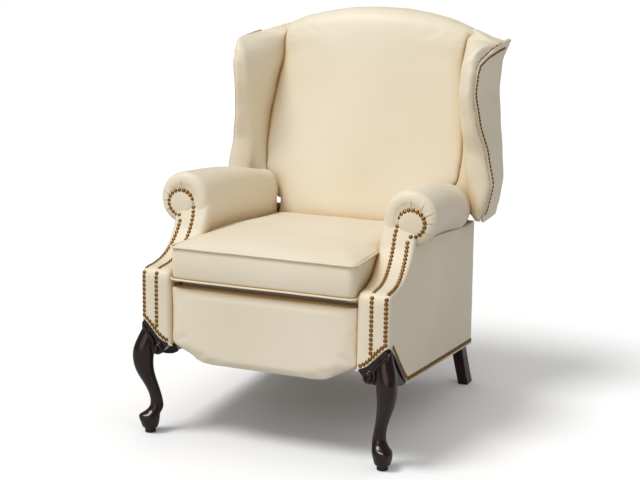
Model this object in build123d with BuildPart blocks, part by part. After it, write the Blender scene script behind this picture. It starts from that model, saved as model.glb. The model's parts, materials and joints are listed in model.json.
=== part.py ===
from build123d import *

import math
import os

os.makedirs("parts", exist_ok=True)

# A wing recliner: the chair faces -Y, the sitter's left hand is +X, and z is 0 on the floor.
# Left pieces are built and the right ones mirrored. Everything is in millimetres.

# Overall
HEIGHT = 1092
PIPING_R = 2.8

# Side of the base: outer leather panel, wood frame and inner panel
SIDE_OUT_FRONT = 335
SIDE_OUT_REAR = 327
FRAME_OUT = 311
FRAME_IN = 277
FRONT_Y = -408
REAR_FOOT_Y = 371
REAR_TOP_Y = 352
POST_IN = 256.5
FACING = 8  # padding and leather over the front post
NOTCH_PEAK_Z = 315
NOTCH_INNER_Z = 250
NOTCH_REAR = (-252, 184)
PANEL_REAR_Z = 126
UNDER_ROLL_FRONT_Z = 528
UNDER_ROLL_REAR_Z = 489

# Arm roll
ROLL_FRONT_Y = -219
ROLL_REAR_Y = 200
ROLL_FRONT = (316, 595, 72)  # x, z, radius
ROLL_REAR = (283, 546, 68)
INNER_ARM_FRONT = 252.5
INNER_ARM_REAR = 237
SCROLL = (326, 585, 34)  # centre x, z and radius of the nail circle

# Nailheads
NAIL_R = 5.5
NAIL_H = 3.0
NAIL_PITCH = 11.5
NAIL_LIFT = 0.3  # thickness of the leather's give under each head

# Seat carriage
SEAT_HALF = 222
RAIL_T = 22
SEAT_RAIL_Z = 345
SEAT_RAIL_H = 40
SEAT_FRONT_Y = -340
SEAT_REAR_Y = 165
CUSHION_FRONT_Y = -417
CUSHION_LOW_Z = 426
CUSHION_TOP_Z = 509
CROWN = 30
CUSHION_HALF = 244.5
CUSHION_HALF_REAR = 218
DECK_TOP_Z = 411.5
SPRING_WIRE = 3.8
SPRING_SWING = 20
SPRING_STEP = 22
RAKE = 14.0
FACE_AT_SEAT = (205, 490)  # y, z of the back's front face at the seat

# Recline pivot and glide
RECLINE_PIVOT = (225, 360)
GLIDE = 60

# Footrest linkage, y and z of the pivots with the footrest folded
LINK = 175
LINK_ANGLE = -55
PIVOT_FRONT = (-250, 350)
PIVOT_REAR = (-190, 350)
CRANK = 54  # from the carrier pivot to the stay pivot
CRANK_ANGLE = 120
FOOT_PIVOT = (-310, 305)
PIN_R = 4.0
RUN_CLEAR = 0.05  # radial clearance of a running pivot
OPEN_CLEAR = 0.4  # radial clearance of a loop's closing pivot
STEEL = 3.0
LAYER_PLATE = 222.0
LAYER_LINK = 225.6
LAYER_CARRIER = 229.2
LINK_W = 11
HEAD_T = 1.8
CHANNEL_IN = 238

# Footrest panel
REST_HALF = 255.3
REST_TOP_Z = 395
REST_LOW_Z = 206
REST_FACE_Y = -405
REST_BACK_Y = -372
BOARD_T = 12

# Back and wings
BACK_LOW_Z = 375.5
BACK_HALF_LOW = 233
BACK_HALF = 280
# Slanted underside of the back behind the arms: it turns level as the back leans, y and z
ARM_CLEAR = [(100, 528), (226, 528), (500, 686)]
BACK_REAR_Y = 402
TOP_REAR_Y = 432
SKIRT_Z = 300
ARM_OUT_CLEAR = 354.5  # inner side of the wing's tail, outside the arm roll


def along(t, start, end):
    """Value a fraction t of the way from start to end."""
    return start + (end - start) * t


def at_y(y, front, rear, y_front, y_rear):
    """Value at y on a straight line from front at y_front to rear at y_rear."""
    return along((y - y_front) / (y_rear - y_front), front, rear)


def face_y(z):
    """Front of the back's middle at height z."""
    return FACE_AT_SEAT[0] + (z - FACE_AT_SEAT[1]) * math.tan(math.radians(RAKE))


def cushion_rear(z):
    """Rear of the seat cushion at height z, its piping just clear of the back."""
    return face_y(z) - 2 * PIPING_R - 1.6


def write(piece, name):
    """Labels a finished piece and writes its file."""
    piece.label = name
    export_step(piece, f"parts/{name}.step")


def write_pair(piece, name):
    """Writes a left piece and its mirror image on the right."""
    write(piece, f"{name}_left")
    write(mirror(piece, about=Plane.YZ), f"{name}_right")


def box_between(low, high):
    """A box from its low corner to its high corner, for a rail or board."""
    size = [b - a for a, b in zip(low, high)]
    middle = [(a + b) / 2 for a, b in zip(low, high)]
    return Pos(*middle) * Box(*size, mode=Mode.PRIVATE)


# ---------------------------------------------------------------- shared curves

# Front line of the arm seen from the side, from under the scroll down to the post, as (y, z)
ARM_LINE = [(-228, 542), (-241, 516), (-267, 485), (-306, 458), (-350, 445), (-392, 441)]
arm_curve = Spline(*ARM_LINE, tangents=((-0.35, -1), (-1, -0.05)))


def arm_point(t, depth=0.0):
    """Point on the arm's front line a fraction t down it, set back by depth."""
    spot = arm_curve @ t
    way = arm_curve % t
    return (spot.X - way.Y * depth, spot.Y + way.X * depth)


# Lower edge of the leather on the post, across the front as (x, z) and along the side as (y, z)
FRONT_NOTCH = [(POST_IN, NOTCH_INNER_Z), (286, 265), (312, 294), (SIDE_OUT_FRONT, NOTCH_PEAK_Z)]
SIDE_NOTCH = [(FRONT_Y, NOTCH_PEAK_Z), (-372, 300), (-335, 262), (-295, 222), NOTCH_REAR]

# ---------------------------------------------------------------- arm facing

with BuildPart() as arm_facing:
    with BuildSketch(Plane.YZ.offset(POST_IN)):
        with BuildLine():
            front = Spline(*ARM_LINE, tangents=((-0.35, -1), (-1, -0.05)))
            corner = RadiusArc(front @ 1, (FRONT_Y, 425), -16)
            down = Line(corner @ 1, (FRONT_Y, NOTCH_INNER_Z - 10))
            foot = Line(down @ 1, (FRONT_Y + FACING, NOTCH_INNER_Z - 10))
            back_post = Line(foot @ 1, (FRONT_Y + FACING, 433))
            inner = [arm_point(t, FACING) for t in (0.95, 0.75, 0.5, 0.3, 0.12)]
            back = Spline(back_post @ 1, *inner, (ROLL_FRONT_Y - 2, 530))
            Line(back @ 1, front @ 0)
        make_face()
    extrude(amount=SIDE_OUT_FRONT - POST_IN)
    inner_edge = arm_facing.edges().filter_by(GeomType.LINE).filter_by(Axis.Z)
    inner_edge = inner_edge.group_by(Axis.X)[0].group_by(Axis.Y)[0]
    fillet(inner_edge, radius=6)
    # the leather's lower edge rises over the leg's knee
    with BuildSketch(Plane.XZ.offset(-FRONT_Y + 1)):
        with BuildLine():
            edge = Spline(*FRONT_NOTCH, tangents=((1, 0.25), (1, 0.15)))
            Polyline(edge @ 1, (SIDE_OUT_FRONT + 5, NOTCH_PEAK_Z), (SIDE_OUT_FRONT + 5, 200))
            Line((SIDE_OUT_FRONT + 5, 200), (POST_IN - 5, 200))
            Polyline((POST_IN - 5, 200), (POST_IN - 5, NOTCH_INNER_Z), edge @ 0)
        make_face()
    extrude(amount=-FACING - 2, mode=Mode.SUBTRACT)
    # flat tongue and round scroll on the front of the arm roll
    with BuildSketch(Plane.XZ.offset(-ROLL_FRONT_Y)):
        with Locations((SCROLL[0], SCROLL[1])):
            Circle(SCROLL[2] + 7)
        with BuildLine():
            Polyline((278, 530), (326, 530), (326, 560), (280, 575), (278, 530))
        make_face()
    extrude(amount=3)
write_pair(arm_facing.part, "arm_facing")

# ---------------------------------------------------------------- arm pad


def roll_section(y, roll, inner_x, skirt_z, skirt_t):
    """Section of the arm pad: a round roll with a skirt down its inner side."""
    x, z, r = roll
    meet_z = z - math.sqrt(r * r - (x - inner_x) ** 2)
    end = (x + r * math.sin(math.radians(10)), z - r * math.cos(math.radians(10)))
    with BuildSketch(Plane.XZ.offset(-y)) as section:
        with BuildLine():
            inside = Line((inner_x, skirt_z), (inner_x, meet_z))
            over = ThreePointArc(inside @ 1, (x, z + r), end)
            under = Line(over @ 1, (inner_x + skirt_t, end[1]))
            drop = Line(under @ 1, (inner_x + skirt_t, skirt_z))
            Line(drop @ 1, inside @ 0)
        make_face()
    return section.sketch


def roll_at(y, shrink=0):
    """Centre and radius of the arm roll at y, drawn in by shrink."""
    x, z, r = [at_y(y, a, b, ROLL_FRONT_Y, ROLL_REAR_Y) for a, b in zip(ROLL_FRONT, ROLL_REAR)]
    return (x, z, r - shrink)


def pad_section(y, shrink=0):
    """Section of the arm pad at y."""
    inner_x = at_y(y, INNER_ARM_FRONT, INNER_ARM_REAR, ROLL_FRONT_Y, ROLL_REAR_Y)
    skirt_z = at_y(y, 498, 466, ROLL_FRONT_Y, ROLL_REAR_Y)
    return roll_section(y, roll_at(y, shrink), inner_x + shrink, skirt_z, 24 - shrink)


ROLL_EDGE = 18  # how far the soft edge round the roll's front reaches back and in

pad_sections = [
    pad_section(ROLL_FRONT_Y, ROLL_EDGE),
    pad_section(ROLL_FRONT_Y + ROLL_EDGE / 3, ROLL_EDGE / 3),
    pad_section(ROLL_FRONT_Y + ROLL_EDGE),
    pad_section(ROLL_REAR_Y),
]

with BuildPart() as arm_pad:
    for near, far in zip(pad_sections, pad_sections[1:]):
        add(near)
        add(far)
        loft(ruled=True)
write_pair(arm_pad.part, "arm_pad")

# ---------------------------------------------------------------- outer side panel

with BuildPart() as outside_arm:
    with BuildSketch(Plane.YZ.offset(FRAME_OUT + 0.5)):
        with BuildLine():
            top = Spline(*[arm_point(t, FACING + 0.2) for t in (0.04, 0.25, 0.5, 0.75, 0.95)])
            post = Polyline(top @ 1, (FRONT_Y + FACING + 0.2, 430), (FRONT_Y + FACING + 0.2, 311))
            notch = Spline(*SIDE_NOTCH[1:], tangents=((0.85, -0.55), (0.72, -0.69)))
            Line(post @ 1, notch @ 0)
            rear = Polyline(
                notch @ 1,
                (REAR_FOOT_Y, PANEL_REAR_Z),
                (REAR_TOP_Y, UNDER_ROLL_REAR_Z),
                (-210, UNDER_ROLL_FRONT_Z + 14),
                top @ 0,
            )
        make_face()
    extrude(amount=SIDE_OUT_FRONT + 1 - FRAME_OUT)
    lean = math.degrees(math.atan2(SIDE_OUT_FRONT - SIDE_OUT_REAR, REAR_FOOT_Y - FRONT_Y))
    outer = Plane(origin=(SIDE_OUT_FRONT, FRONT_Y, 0), z_dir=(-1, -math.tan(math.radians(lean)), 0))
    split(bisect_by=outer, keep=Keep.TOP)
    add(arm_pad.part, mode=Mode.SUBTRACT)
    add(arm_facing.part, mode=Mode.SUBTRACT)
write_pair(outside_arm.part, "outside_arm")

# ---------------------------------------------------------------- wood frame of the arms

with BuildPart() as front_posts:
    with BuildSketch(Plane.YZ.offset(FRAME_IN)):
        with BuildLine():
            s_line = Spline(*[arm_point(t, FACING + 1) for t in (0.12, 0.3, 0.5, 0.75, 0.95)])
            Polyline(
                s_line @ 1,
                (FRONT_Y + FACING + 1, 430),
                (FRONT_Y + FACING + 1, NOTCH_PEAK_Z + 1),
                (-325, NOTCH_PEAK_Z + 1),
                (-325, 420),
                (-200, 485),
                (-200, 515),
                s_line @ 0,
            )
        make_face()
    extrude(amount=FRAME_OUT - FRAME_IN)
    mirror(about=Plane.YZ)
write(front_posts.part, "front_posts")

with BuildPart() as rear_posts:
    add(box_between((FRAME_IN, 318, 132), (FRAME_OUT, 346, 439)))
    mirror(about=Plane.YZ)
write(rear_posts.part, "rear_posts")

# leather corners of the base's rear, either side of the back's skirt
with BuildPart() as rear_facings:
    add(box_between((BACK_HALF_LOW + 4, 347, 228), (FRAME_OUT, 353, 478)))
    fillet(rear_facings.edges().filter_by(Axis.Z).group_by(Axis.Y)[-1], radius=2.5)
    mirror(about=Plane.YZ)
write(rear_facings.part, "rear_facings")


def side_rail(points):
    """A pair of rails of the arm frames, from their outline as (y, z)."""
    with BuildPart() as rail:
        with BuildSketch(Plane.YZ.offset(FRAME_IN)):
            with BuildLine():
                Polyline(*points, close=True)
            make_face()
        extrude(amount=FRAME_OUT - FRAME_IN)
        mirror(about=Plane.YZ)
    return rail.part


arm_rails = side_rail([(-199, 486), (346, 440), (346, 468), (200, 474), (-199, 513)])
write(arm_rails, "arm_rails")
bottom_rails = side_rail([(-262, 200), (317, 142), (317, 196), (-262, 254)])
write(bottom_rails, "bottom_rails")

with BuildPart() as support_rails:
    add(box_between((FRAME_IN - 15, -385, 325), (FRAME_IN, 345, 395)))
    mirror(about=Plane.YZ)
write(support_rails.part, "seat_support_rails")

with BuildPart() as inside_panels:
    with BuildSketch(Plane.XY.offset(398)):
        with BuildLine():
            Polyline(
                (INNER_ARM_FRONT, FRONT_Y + FACING + 1),
                (INNER_ARM_REAR, ROLL_REAR_Y),
                (INNER_ARM_REAR, 344),
                (FRAME_IN - 1, 344),
                (FRAME_IN - 1, -214),
                (INNER_ARM_FRONT + 6, -214),
                (INNER_ARM_FRONT + 6, FRONT_Y + FACING + 1),
                close=True,
            )
        make_face()
    extrude(amount=68)
    # the front of the panel drops with the arm's front line
    add(box_between((240, -410, 430), (280, -318, 470)), mode=Mode.SUBTRACT)
    add(box_between((240, -318, 444), (280, -285, 470)), mode=Mode.SUBTRACT)
    add(box_between((240, -285, 458), (280, -262, 470)), mode=Mode.SUBTRACT)
    mirror(about=Plane.YZ)
write(inside_panels.part, "inside_arm_panels")

# ---------------------------------------------------------------- cross members and back apron

with BuildPart() as rear_cross_rail:
    add(box_between((-FRAME_IN + 0.5, 322, 150), (FRAME_IN - 0.5, 345, 212)))
write(rear_cross_rail.part, "rear_cross_rail")

with BuildPart() as middle_cross_rail:
    add(box_between((-FRAME_IN + 0.5, 20, 205), (FRAME_IN - 0.5, 44, 255)))
write(middle_cross_rail.part, "middle_cross_rail")

with BuildPart() as back_apron:
    add(box_between((-FRAME_OUT, 347, 132), (FRAME_OUT, 364, 226)))
    fillet(back_apron.edges().filter_by(Axis.X).group_by(Axis.Y)[-1], radius=6)
write(back_apron.part, "back_apron")

# ---------------------------------------------------------------- front legs

# Centre and width of the leg at each height, up from the pad foot
LEG_SECTIONS = [
    (12, 325, -395.5, 40),
    (25, 325, -394.5, 49),
    (40, 324, -396, 54),
    (52, 319, -394, 48),
    (68, 311, -384, 36),
    (100, 314, -384, 31),
    (140, 325, -394, 37),
    (180, 335, -404, 47),
    (215, 335, -407.8, 54),
    (245, 331, -405, 54),
    (275, 325, -394.5, 42),
    (305, 320, -386, 34),
]

with BuildPart() as front_leg:
    for z, x, y, width in LEG_SECTIONS:
        with BuildSketch(Plane.XY.offset(z)):
            with Locations((x, y)):
                Circle(width / 2)
    loft()
    # block behind the leather that the frame is bolted to
    add(box_between((FRAME_IN, FRONT_Y + FACING + 1, 215), (FRAME_OUT, -330, NOTCH_PEAK_Z)))
    # carved ear on the front, curling in under the leather
    with BuildSketch(Plane.XZ.offset(412)):
        with BuildLine():
            ear = Spline((259, 250), (272, 243), (284, 228), (300, 222), (320, 226))
            Polyline(ear @ 1, (336, 300), (300, 279), (284, 264), ear @ 0)
        make_face()
    extrude(amount=-30)
    # ear along the side, under the sloping edge of the side panel
    with BuildSketch(Plane.YZ.offset(FRAME_OUT)):
        with BuildLine():
            low = Spline((-400, 226), (-360, 214), (-310, 196), (-262, 190))
            Polyline(low @ 1, (-270, 198), (-300, 224), (-340, 262), (-400, 300), low @ 0)
        make_face()
    extrude(amount=26)
    add(arm_facing.part, mode=Mode.SUBTRACT)
    add(outside_arm.part, mode=Mode.SUBTRACT)
write_pair(front_leg.part, "front_leg")

# ---------------------------------------------------------------- rear legs

REAR_LEG_SECTIONS = [(0, 314, 365, 29, 50), (60, 304, 353, 31, 46), (131, 294, 341, 33, 44)]

with BuildPart() as rear_leg:
    for z, x, y, wide, deep in REAR_LEG_SECTIONS:
        with BuildSketch(Plane.XY.offset(z)):
            with Locations((x, y)):
                RectangleRounded(wide, deep, 3)
    loft()
write_pair(rear_leg.part, "rear_leg")

with BuildPart() as leg_glides:
    with BuildSketch(Plane.XY):
        with Locations((325, -395.5), (-325, -395.5)):
            Circle(14)
    extrude(amount=12)
    fillet(leg_glides.edges().group_by(Axis.Z)[0], radius=1.5)
write(leg_glides.part, "leg_glides")

# ---------------------------------------------------------------- nailheads

DOME_R = (NAIL_R**2 + NAIL_H**2) / (2 * NAIL_H)
with BuildPart() as nailhead:
    with Locations((0, 0, NAIL_H - DOME_R)):
        Sphere(DOME_R)
    with Locations((0, 0, -DOME_R)):
        Box(4 * DOME_R, 4 * DOME_R, 2 * DOME_R, mode=Mode.SUBTRACT)


def nails_on(line, outward):
    """Nailheads spaced evenly along a line, as pairs of a place and the way the dome faces."""
    count = max(1, round(line.length / NAIL_PITCH))
    spots = []
    for i in range(count):
        t = (i + 0.5) / count
        out = Vector(*outward(line @ t, t)).normalized()
        spots.append((line @ t + out * NAIL_LIFT, out))
    return spots


def nailheads(spots, side):
    """One solid dome for each place, on the left with side 1 and on the right with side -1."""
    heads = []
    for spot, out in spots:
        place = Plane(origin=(spot.X * side, spot.Y, spot.Z), z_dir=(out.X * side, out.Y, out.Z))
        heads.extend(nailhead.part.moved(place.location).solids())
    return Compound(heads)


def arm_row(xs):
    """Line down the arm's curved front, through x values spread evenly from scroll to post."""
    spots = []
    for i, x in enumerate(xs):
        spot = arm_point(i / (len(xs) - 1), 0)
        spots.append((x, spot[0], spot[1]))
    return Spline(*spots)


def arm_normal(spot, t):
    """Direction out of the arm's curved front at a fraction t down a row."""
    way = arm_curve % t
    return (0, way.Y, -way.X)


def facing(direction):
    """A constant outward direction, in the form that nails_on asks for."""
    return lambda spot, t: direction


FRONT = (0, -1, 0)
SIDE = (1, 0, 0)
scroll_y = ROLL_FRONT_Y - 3
ring = Plane(origin=(SCROLL[0], scroll_y, SCROLL[1]), x_dir=(1, 0, 0), z_dir=(0, -1, 0))
scroll_ring = CenterArc((0, 0), SCROLL[2], -100, 285).moved(ring.location)
inner_tail = Line((288, scroll_y, 576), (283.3, scroll_y, 552.5))
outer_row = arm_row([319.5, 321, 323.6, 327, 329.4, 329.4])
inner_row = arm_row([283, 284, 287, 290, 293, 293.5])
outer_post = Line((329.4, FRONT_Y, 426), (329.4, FRONT_Y, 330))
inner_post = Line((293.5, FRONT_Y, 426), (293.5, FRONT_Y, 296))
knee_row = Spline(*[(x - 1, FRONT_Y, z + 9.5) for x, z in FRONT_NOTCH])
side_edge = Spline(*[(SIDE_OUT_FRONT - 0.2, y + 5, z + 9) for y, z in SIDE_NOTCH[1:]])
bottom_edge = Line(
    (SIDE_OUT_FRONT - 1.6, NOTCH_REAR[0] + 8, NOTCH_REAR[1] + 7),
    (SIDE_OUT_REAR, REAR_FOOT_Y - 5, PANEL_REAR_Z + 8),
)

arm_spots = (
    nails_on(scroll_ring, facing(FRONT))
    + nails_on(inner_tail, facing(FRONT))
    + nails_on(outer_row, arm_normal)
    + nails_on(inner_row, arm_normal)
    + nails_on(outer_post, facing(FRONT))
    + nails_on(inner_post, facing(FRONT))
    + nails_on(knee_row, facing(FRONT))
    + nails_on(side_edge, facing(SIDE))
    + nails_on(bottom_edge, facing(SIDE))
)
write(nailheads(arm_spots, 1), "arm_nailheads_left")
write(nailheads(arm_spots, -1), "arm_nailheads_right")

# ---------------------------------------------------------------- piping along the base's lower edge


def pipe_along(points, radius=PIPING_R, bend=12):
    """Round piping swept along straight runs joined by arcs."""
    with BuildPart() as pipe:
        with BuildLine() as path:
            FilletPolyline(*points, radius=bend)
        with BuildSketch(Plane(origin=path.line @ 0, z_dir=path.line % 0)):
            Circle(radius)
        sweep(path=path.line)
    return pipe.part


lower_edge = [
    (260.5, FRONT_Y + 4, 249.5),
    (288, FRONT_Y + 4, 263),
    (322, FRONT_Y + 4, 306),
    (SIDE_OUT_FRONT, FRONT_Y + 18, 308),
    (SIDE_OUT_FRONT, -335, 257),
    (SIDE_OUT_FRONT - 2, NOTCH_REAR[0], NOTCH_REAR[1] - 3.6),
    (SIDE_OUT_REAR, REAR_FOOT_Y, PANEL_REAR_Z - 3.6),
]
lower_pipe = pipe_along(lower_edge, bend=6)

with BuildPart() as base_welts:
    add(lower_pipe)
    add(arm_facing.part, mode=Mode.SUBTRACT)
    add(outside_arm.part, mode=Mode.SUBTRACT)
    add(front_leg.part, mode=Mode.SUBTRACT)
    mirror(about=Plane.YZ)
write(base_welts.part, "base_welts")

# ---------------------------------------------------------------- glide channels and leg bolts

with BuildPart() as glide_channels:
    add(box_between((CHANNEL_IN, -100, 341), (FRAME_IN - 15, 230, 379)))
    add(box_between((CHANNEL_IN - 1, -101, 345), (FRAME_IN - 19, 231, 375)), mode=Mode.SUBTRACT)
    mirror(about=Plane.YZ)
write(glide_channels.part, "glide_channels")

with BuildPart() as leg_bolts:
    with BuildSketch(Plane.XY.offset(NOTCH_PEAK_Z + 1.2)):
        with Locations((FRAME_IN - 7, -350), (7 - FRAME_IN, -350)):
            RegularPolygon(6, 6)
    extrude(amount=5)
write(leg_bolts.part, "leg_bolts")

# ---------------------------------------------------------------- seat frame

with BuildPart() as seat_side_rails:
    rail_top = SEAT_RAIL_Z + SEAT_RAIL_H
    add(box_between((SEAT_HALF - RAIL_T, SEAT_FRONT_Y, SEAT_RAIL_Z), (SEAT_HALF, SEAT_REAR_Y, rail_top)))
    mirror(about=Plane.YZ)
write(seat_side_rails.part, "seat_side_rails")

cross_half = SEAT_HALF - RAIL_T
with BuildPart() as seat_front_rail:
    add(box_between((-cross_half, SEAT_FRONT_Y, SEAT_RAIL_Z), (cross_half, SEAT_FRONT_Y + RAIL_T, rail_top)))
write(seat_front_rail.part, "seat_front_rail")

with BuildPart() as seat_rear_rail:
    add(box_between((-cross_half, SEAT_REAR_Y - RAIL_T, SEAT_RAIL_Z), (cross_half, SEAT_REAR_Y, rail_top)))
write(seat_rear_rail.part, "seat_rear_rail")


def sinuous_path(length, swing, step):
    """Corner points of a zigzag spring in its own plane, from (0, 0) along y."""
    turns = round(length / step)
    points = [(0, 0)]
    for i in range(turns):
        y = (i + 0.5) * length / turns
        side = swing if i % 2 == 0 else -swing
        points.append((side, y - step * 0.25))
        points.append((side, y + step * 0.25))
    points.append((0, length))
    return points


def sinuous_spring(plane, length):
    """One zigzag spring of round wire lying in a plane."""
    with BuildPart() as spring:
        with BuildLine(plane) as path:
            FilletPolyline(*sinuous_path(length, SPRING_SWING, SPRING_STEP), radius=4.5)
        with BuildSketch(Plane(origin=path.line @ 0, z_dir=path.line % 0)):
            Circle(SPRING_WIRE / 2)
        sweep(path=path.line)
    return spring.part


spring_length = SEAT_REAR_Y - SEAT_FRONT_Y - 16
seat_rows = []
for x in (-150, -75, 0, 75, 150):
    start = Plane(origin=(x, SEAT_FRONT_Y + 8, rail_top + 2.2))
    seat_rows.extend(sinuous_spring(start, spring_length).solids())
write(Compound(seat_rows), "seat_springs")

with BuildPart() as seat_deck:
    add(box_between((-SEAT_HALF, SEAT_FRONT_Y - 4, rail_top + 4.6), (SEAT_HALF, SEAT_REAR_Y, DECK_TOP_Z)))
write(seat_deck.part, "seat_deck")

with BuildPart() as deck_nosing:
    add(box_between((-244, -412, REST_TOP_Z + 3.5), (244, SEAT_FRONT_Y - 4.2, DECK_TOP_Z)))
    fillet(deck_nosing.edges().filter_by(Axis.X).group_by(Axis.Y)[0], radius=5)
write(deck_nosing.part, "deck_nosing")

# ---------------------------------------------------------------- seat cushion


def cushion_outline(rear_y, out=0):
    """Plan of the cushion, its front and sides drawn in a little between the corners."""
    half = CUSHION_HALF + out
    half_rear = CUSHION_HALF_REAR + out + 0.085 * (cushion_rear(CUSHION_TOP_Z) - rear_y)
    front_y = CUSHION_FRONT_Y - out
    with BuildSketch() as plan:
        with BuildLine():
            front = ThreePointArc((-half, front_y), (0, front_y + 3), (half, front_y))
            left = ThreePointArc(front @ 1, (half - 7, -110), (half_rear, rear_y + out))
            rear = Line(left @ 1, (-half_rear, rear_y + out))
            ThreePointArc(rear @ 1, (7 - half, -110), front @ 0)
        make_face()
        fillet(plan.vertices().group_by(Axis.Y)[0], radius=34 + out)
        fillet(plan.vertices().group_by(Axis.Y)[-1], radius=12 + out)
    return plan.sketch


def crown_section(x, rise, sink):
    """Side section of the crowned cushion at x."""
    with BuildSketch(Plane.YZ.offset(x)) as side:
        with BuildLine():
            crown = (-120, CUSHION_TOP_Z + rise)
            top = ThreePointArc((-430, CUSHION_TOP_Z - 2), crown, (230, CUSHION_TOP_Z - 2))
            rear = Line(top @ 1, (230, CUSHION_LOW_Z + 1))
            low = ThreePointArc(rear @ 1, (-120, CUSHION_LOW_Z - sink), (-430, CUSHION_LOW_Z + 1))
            Line(low @ 1, top @ 0)
        make_face()
    return side.sketch


boxing = loft([Pos(0, 0, z) * cushion_outline(cushion_rear(z)) for z in (400, 600)], ruled=True)

crown_sections = []
for share in (-1, -0.6, 0, 0.6, 1):
    swell = (1 - share * share) ** 0.7
    crown_sections.append(crown_section(share * 262, 4 + (CROWN - 4) * swell, 2 + 11 * swell))

with BuildPart() as seat_cushion:
    for section in crown_sections:
        add(section)
    loft()
    add(boxing, mode=Mode.INTERSECT)
write(seat_cushion.part, "seat_cushion")


def cushion_welt(z):
    """Closed round piping at height z of the cushion's edge."""
    plan = Pos(0, 0, z) * cushion_outline(cushion_rear(z), PIPING_R + 0.5)
    wire = plan.wires()[0]
    with BuildPart() as welt:
        with BuildSketch(Plane(origin=wire @ 0, z_dir=wire % 0)):
            Circle(PIPING_R)
        sweep(path=wire)
    return welt.part


top_welt = cushion_welt(CUSHION_TOP_Z)
low_welt = cushion_welt(CUSHION_LOW_Z)

write(Compound([*top_welt.solids(), *low_welt.solids()]), "cushion_welts")

# ---------------------------------------------------------------- footrest linkage


def turned(distance, angle):
    """Offset in y and z at an angle in degrees, measured up from the rear."""
    return (distance * math.cos(math.radians(angle)), distance * math.sin(math.radians(angle)))


def shifted(point, offset):
    """A y, z point moved by an offset."""
    return (point[0] + offset[0], point[1] + offset[1])


LINK_REACH = turned(LINK, LINK_ANGLE)
CARRIER_FRONT = shifted(PIVOT_FRONT, LINK_REACH)
CARRIER_REAR = shifted(PIVOT_REAR, LINK_REACH)
CRANK_END = shifted(CARRIER_FRONT, turned(CRANK, CRANK_ANGLE))
STAY_END = shifted(FOOT_PIVOT, turned(CRANK, CRANK_ANGLE))


def plate(x, spots, radius, holes, thick=STEEL):
    """Flat steel link: the hull of round ends at some spots, with holes given as (spot, radius)."""
    with BuildPart() as link:
        with BuildSketch(Plane.YZ.offset(x)):
            with Locations(*spots):
                Circle(radius)
            make_hull()
            for spot, hole in holes:
                with Locations(spot):
                    Circle(hole, mode=Mode.SUBTRACT)
        extrude(amount=thick)
    return link.part


def stud(spot, x_from, x_to, head_x, head_r=7.0, radius=PIN_R):
    """Shouldered rivet along X with a flat head, its shank from x_from to x_to."""
    with BuildPart() as rivet:
        with BuildSketch(Plane.YZ.offset(x_from)):
            with Locations(spot):
                Circle(radius)
        extrude(amount=x_to - x_from)
        with BuildSketch(Plane.YZ.offset(head_x)):
            with Locations(spot):
                Circle(head_r)
        extrude(amount=HEAD_T)
    return rivet.part


def tube_across(spot, half, radius, wall=1.6):
    """Round tube across the chair, from -half to half in x."""
    with BuildPart() as tube:
        with BuildSketch(Plane.YZ.offset(-half)):
            with Locations(spot):
                Circle(radius)
                Circle(radius - wall, mode=Mode.SUBTRACT)
        extrude(amount=2 * half)
    return tube.part


run = PIN_R + RUN_CLEAR
loose = PIN_R + OPEN_CLEAR

link_top = LAYER_LINK + STEEL + 0.2
carrier_top = LAYER_CARRIER + STEEL + 0.2
front_stud = stud(PIVOT_FRONT, LAYER_PLATE + STEEL, link_top, link_top)
rear_stud = stud(PIVOT_REAR, LAYER_PLATE + STEEL, link_top, link_top)
recline_stud = stud(RECLINE_PIVOT, LAYER_PLATE + STEEL, link_top, link_top, 9, 6)

with BuildPart() as mechanism_plates:
    with BuildSketch(Plane.YZ.offset(LAYER_PLATE)):
        with BuildLine():
            Polyline((-272, 334), (246, 334), (246, 371), (150, 371), (140, 384), (-272, 384), close=True)
        make_face()
    extrude(amount=STEEL)
    add(front_stud)
    add(rear_stud)
    add(recline_stud)
    mirror(about=Plane.YZ)
write(mechanism_plates.part, "mechanism_plates")

with BuildPart() as glide_bars:
    add(box_between((LAYER_PLATE + STEEL, -20, 345.6), (FRAME_IN - 20, 195, 374.4)))
    mirror(about=Plane.YZ)
write(glide_bars.part, "glide_bars")

TORQUE_TUBE = (-200, 288)
front_link = plate(
    LAYER_LINK,
    [PIVOT_FRONT, CARRIER_FRONT, CRANK_END],
    LINK_W,
    [(PIVOT_FRONT, run), (CARRIER_FRONT, run)],
)
crank_stud = stud(CRANK_END, LAYER_LINK + STEEL, carrier_top, carrier_top)
torque_tube = tube_across(TORQUE_TUBE, LAYER_LINK + 0.5, 9)

with BuildPart() as front_link_frame:
    add(front_link)
    add(crank_stud)
    mirror(about=Plane.YZ)
    add(torque_tube)
write(front_link_frame.part, "front_link_frame")

rear_link = plate(
    LAYER_LINK,
    [PIVOT_REAR, CARRIER_REAR],
    LINK_W,
    [(PIVOT_REAR, run), (CARRIER_REAR, loose)],
)
write_pair(rear_link, "rear_link")

CARRIER_TUBE = (
    along(0.74, CARRIER_FRONT[0], FOOT_PIVOT[0]),
    along(0.74, CARRIER_FRONT[1], FOOT_PIVOT[1]),
)
carrier_bars = [
    plate(LAYER_CARRIER, [CARRIER_REAR, CARRIER_FRONT], LINK_W - 1, []),
    plate(LAYER_CARRIER, [CARRIER_FRONT, FOOT_PIVOT], LINK_W - 1, []),
]
inner_head = LAYER_LINK - 0.2
carrier_studs = [
    stud(spot, inner_head, LAYER_CARRIER, inner_head - HEAD_T)
    for spot in (CARRIER_REAR, CARRIER_FRONT, FOOT_PIVOT)
]
carrier_tube = tube_across(CARRIER_TUBE, LAYER_CARRIER + 0.5, 8)

with BuildPart() as carrier_frame:
    add(carrier_bars)
    add(carrier_studs)
    mirror(about=Plane.YZ)
    add(carrier_tube)
write(carrier_frame.part, "carrier_frame")

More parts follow.
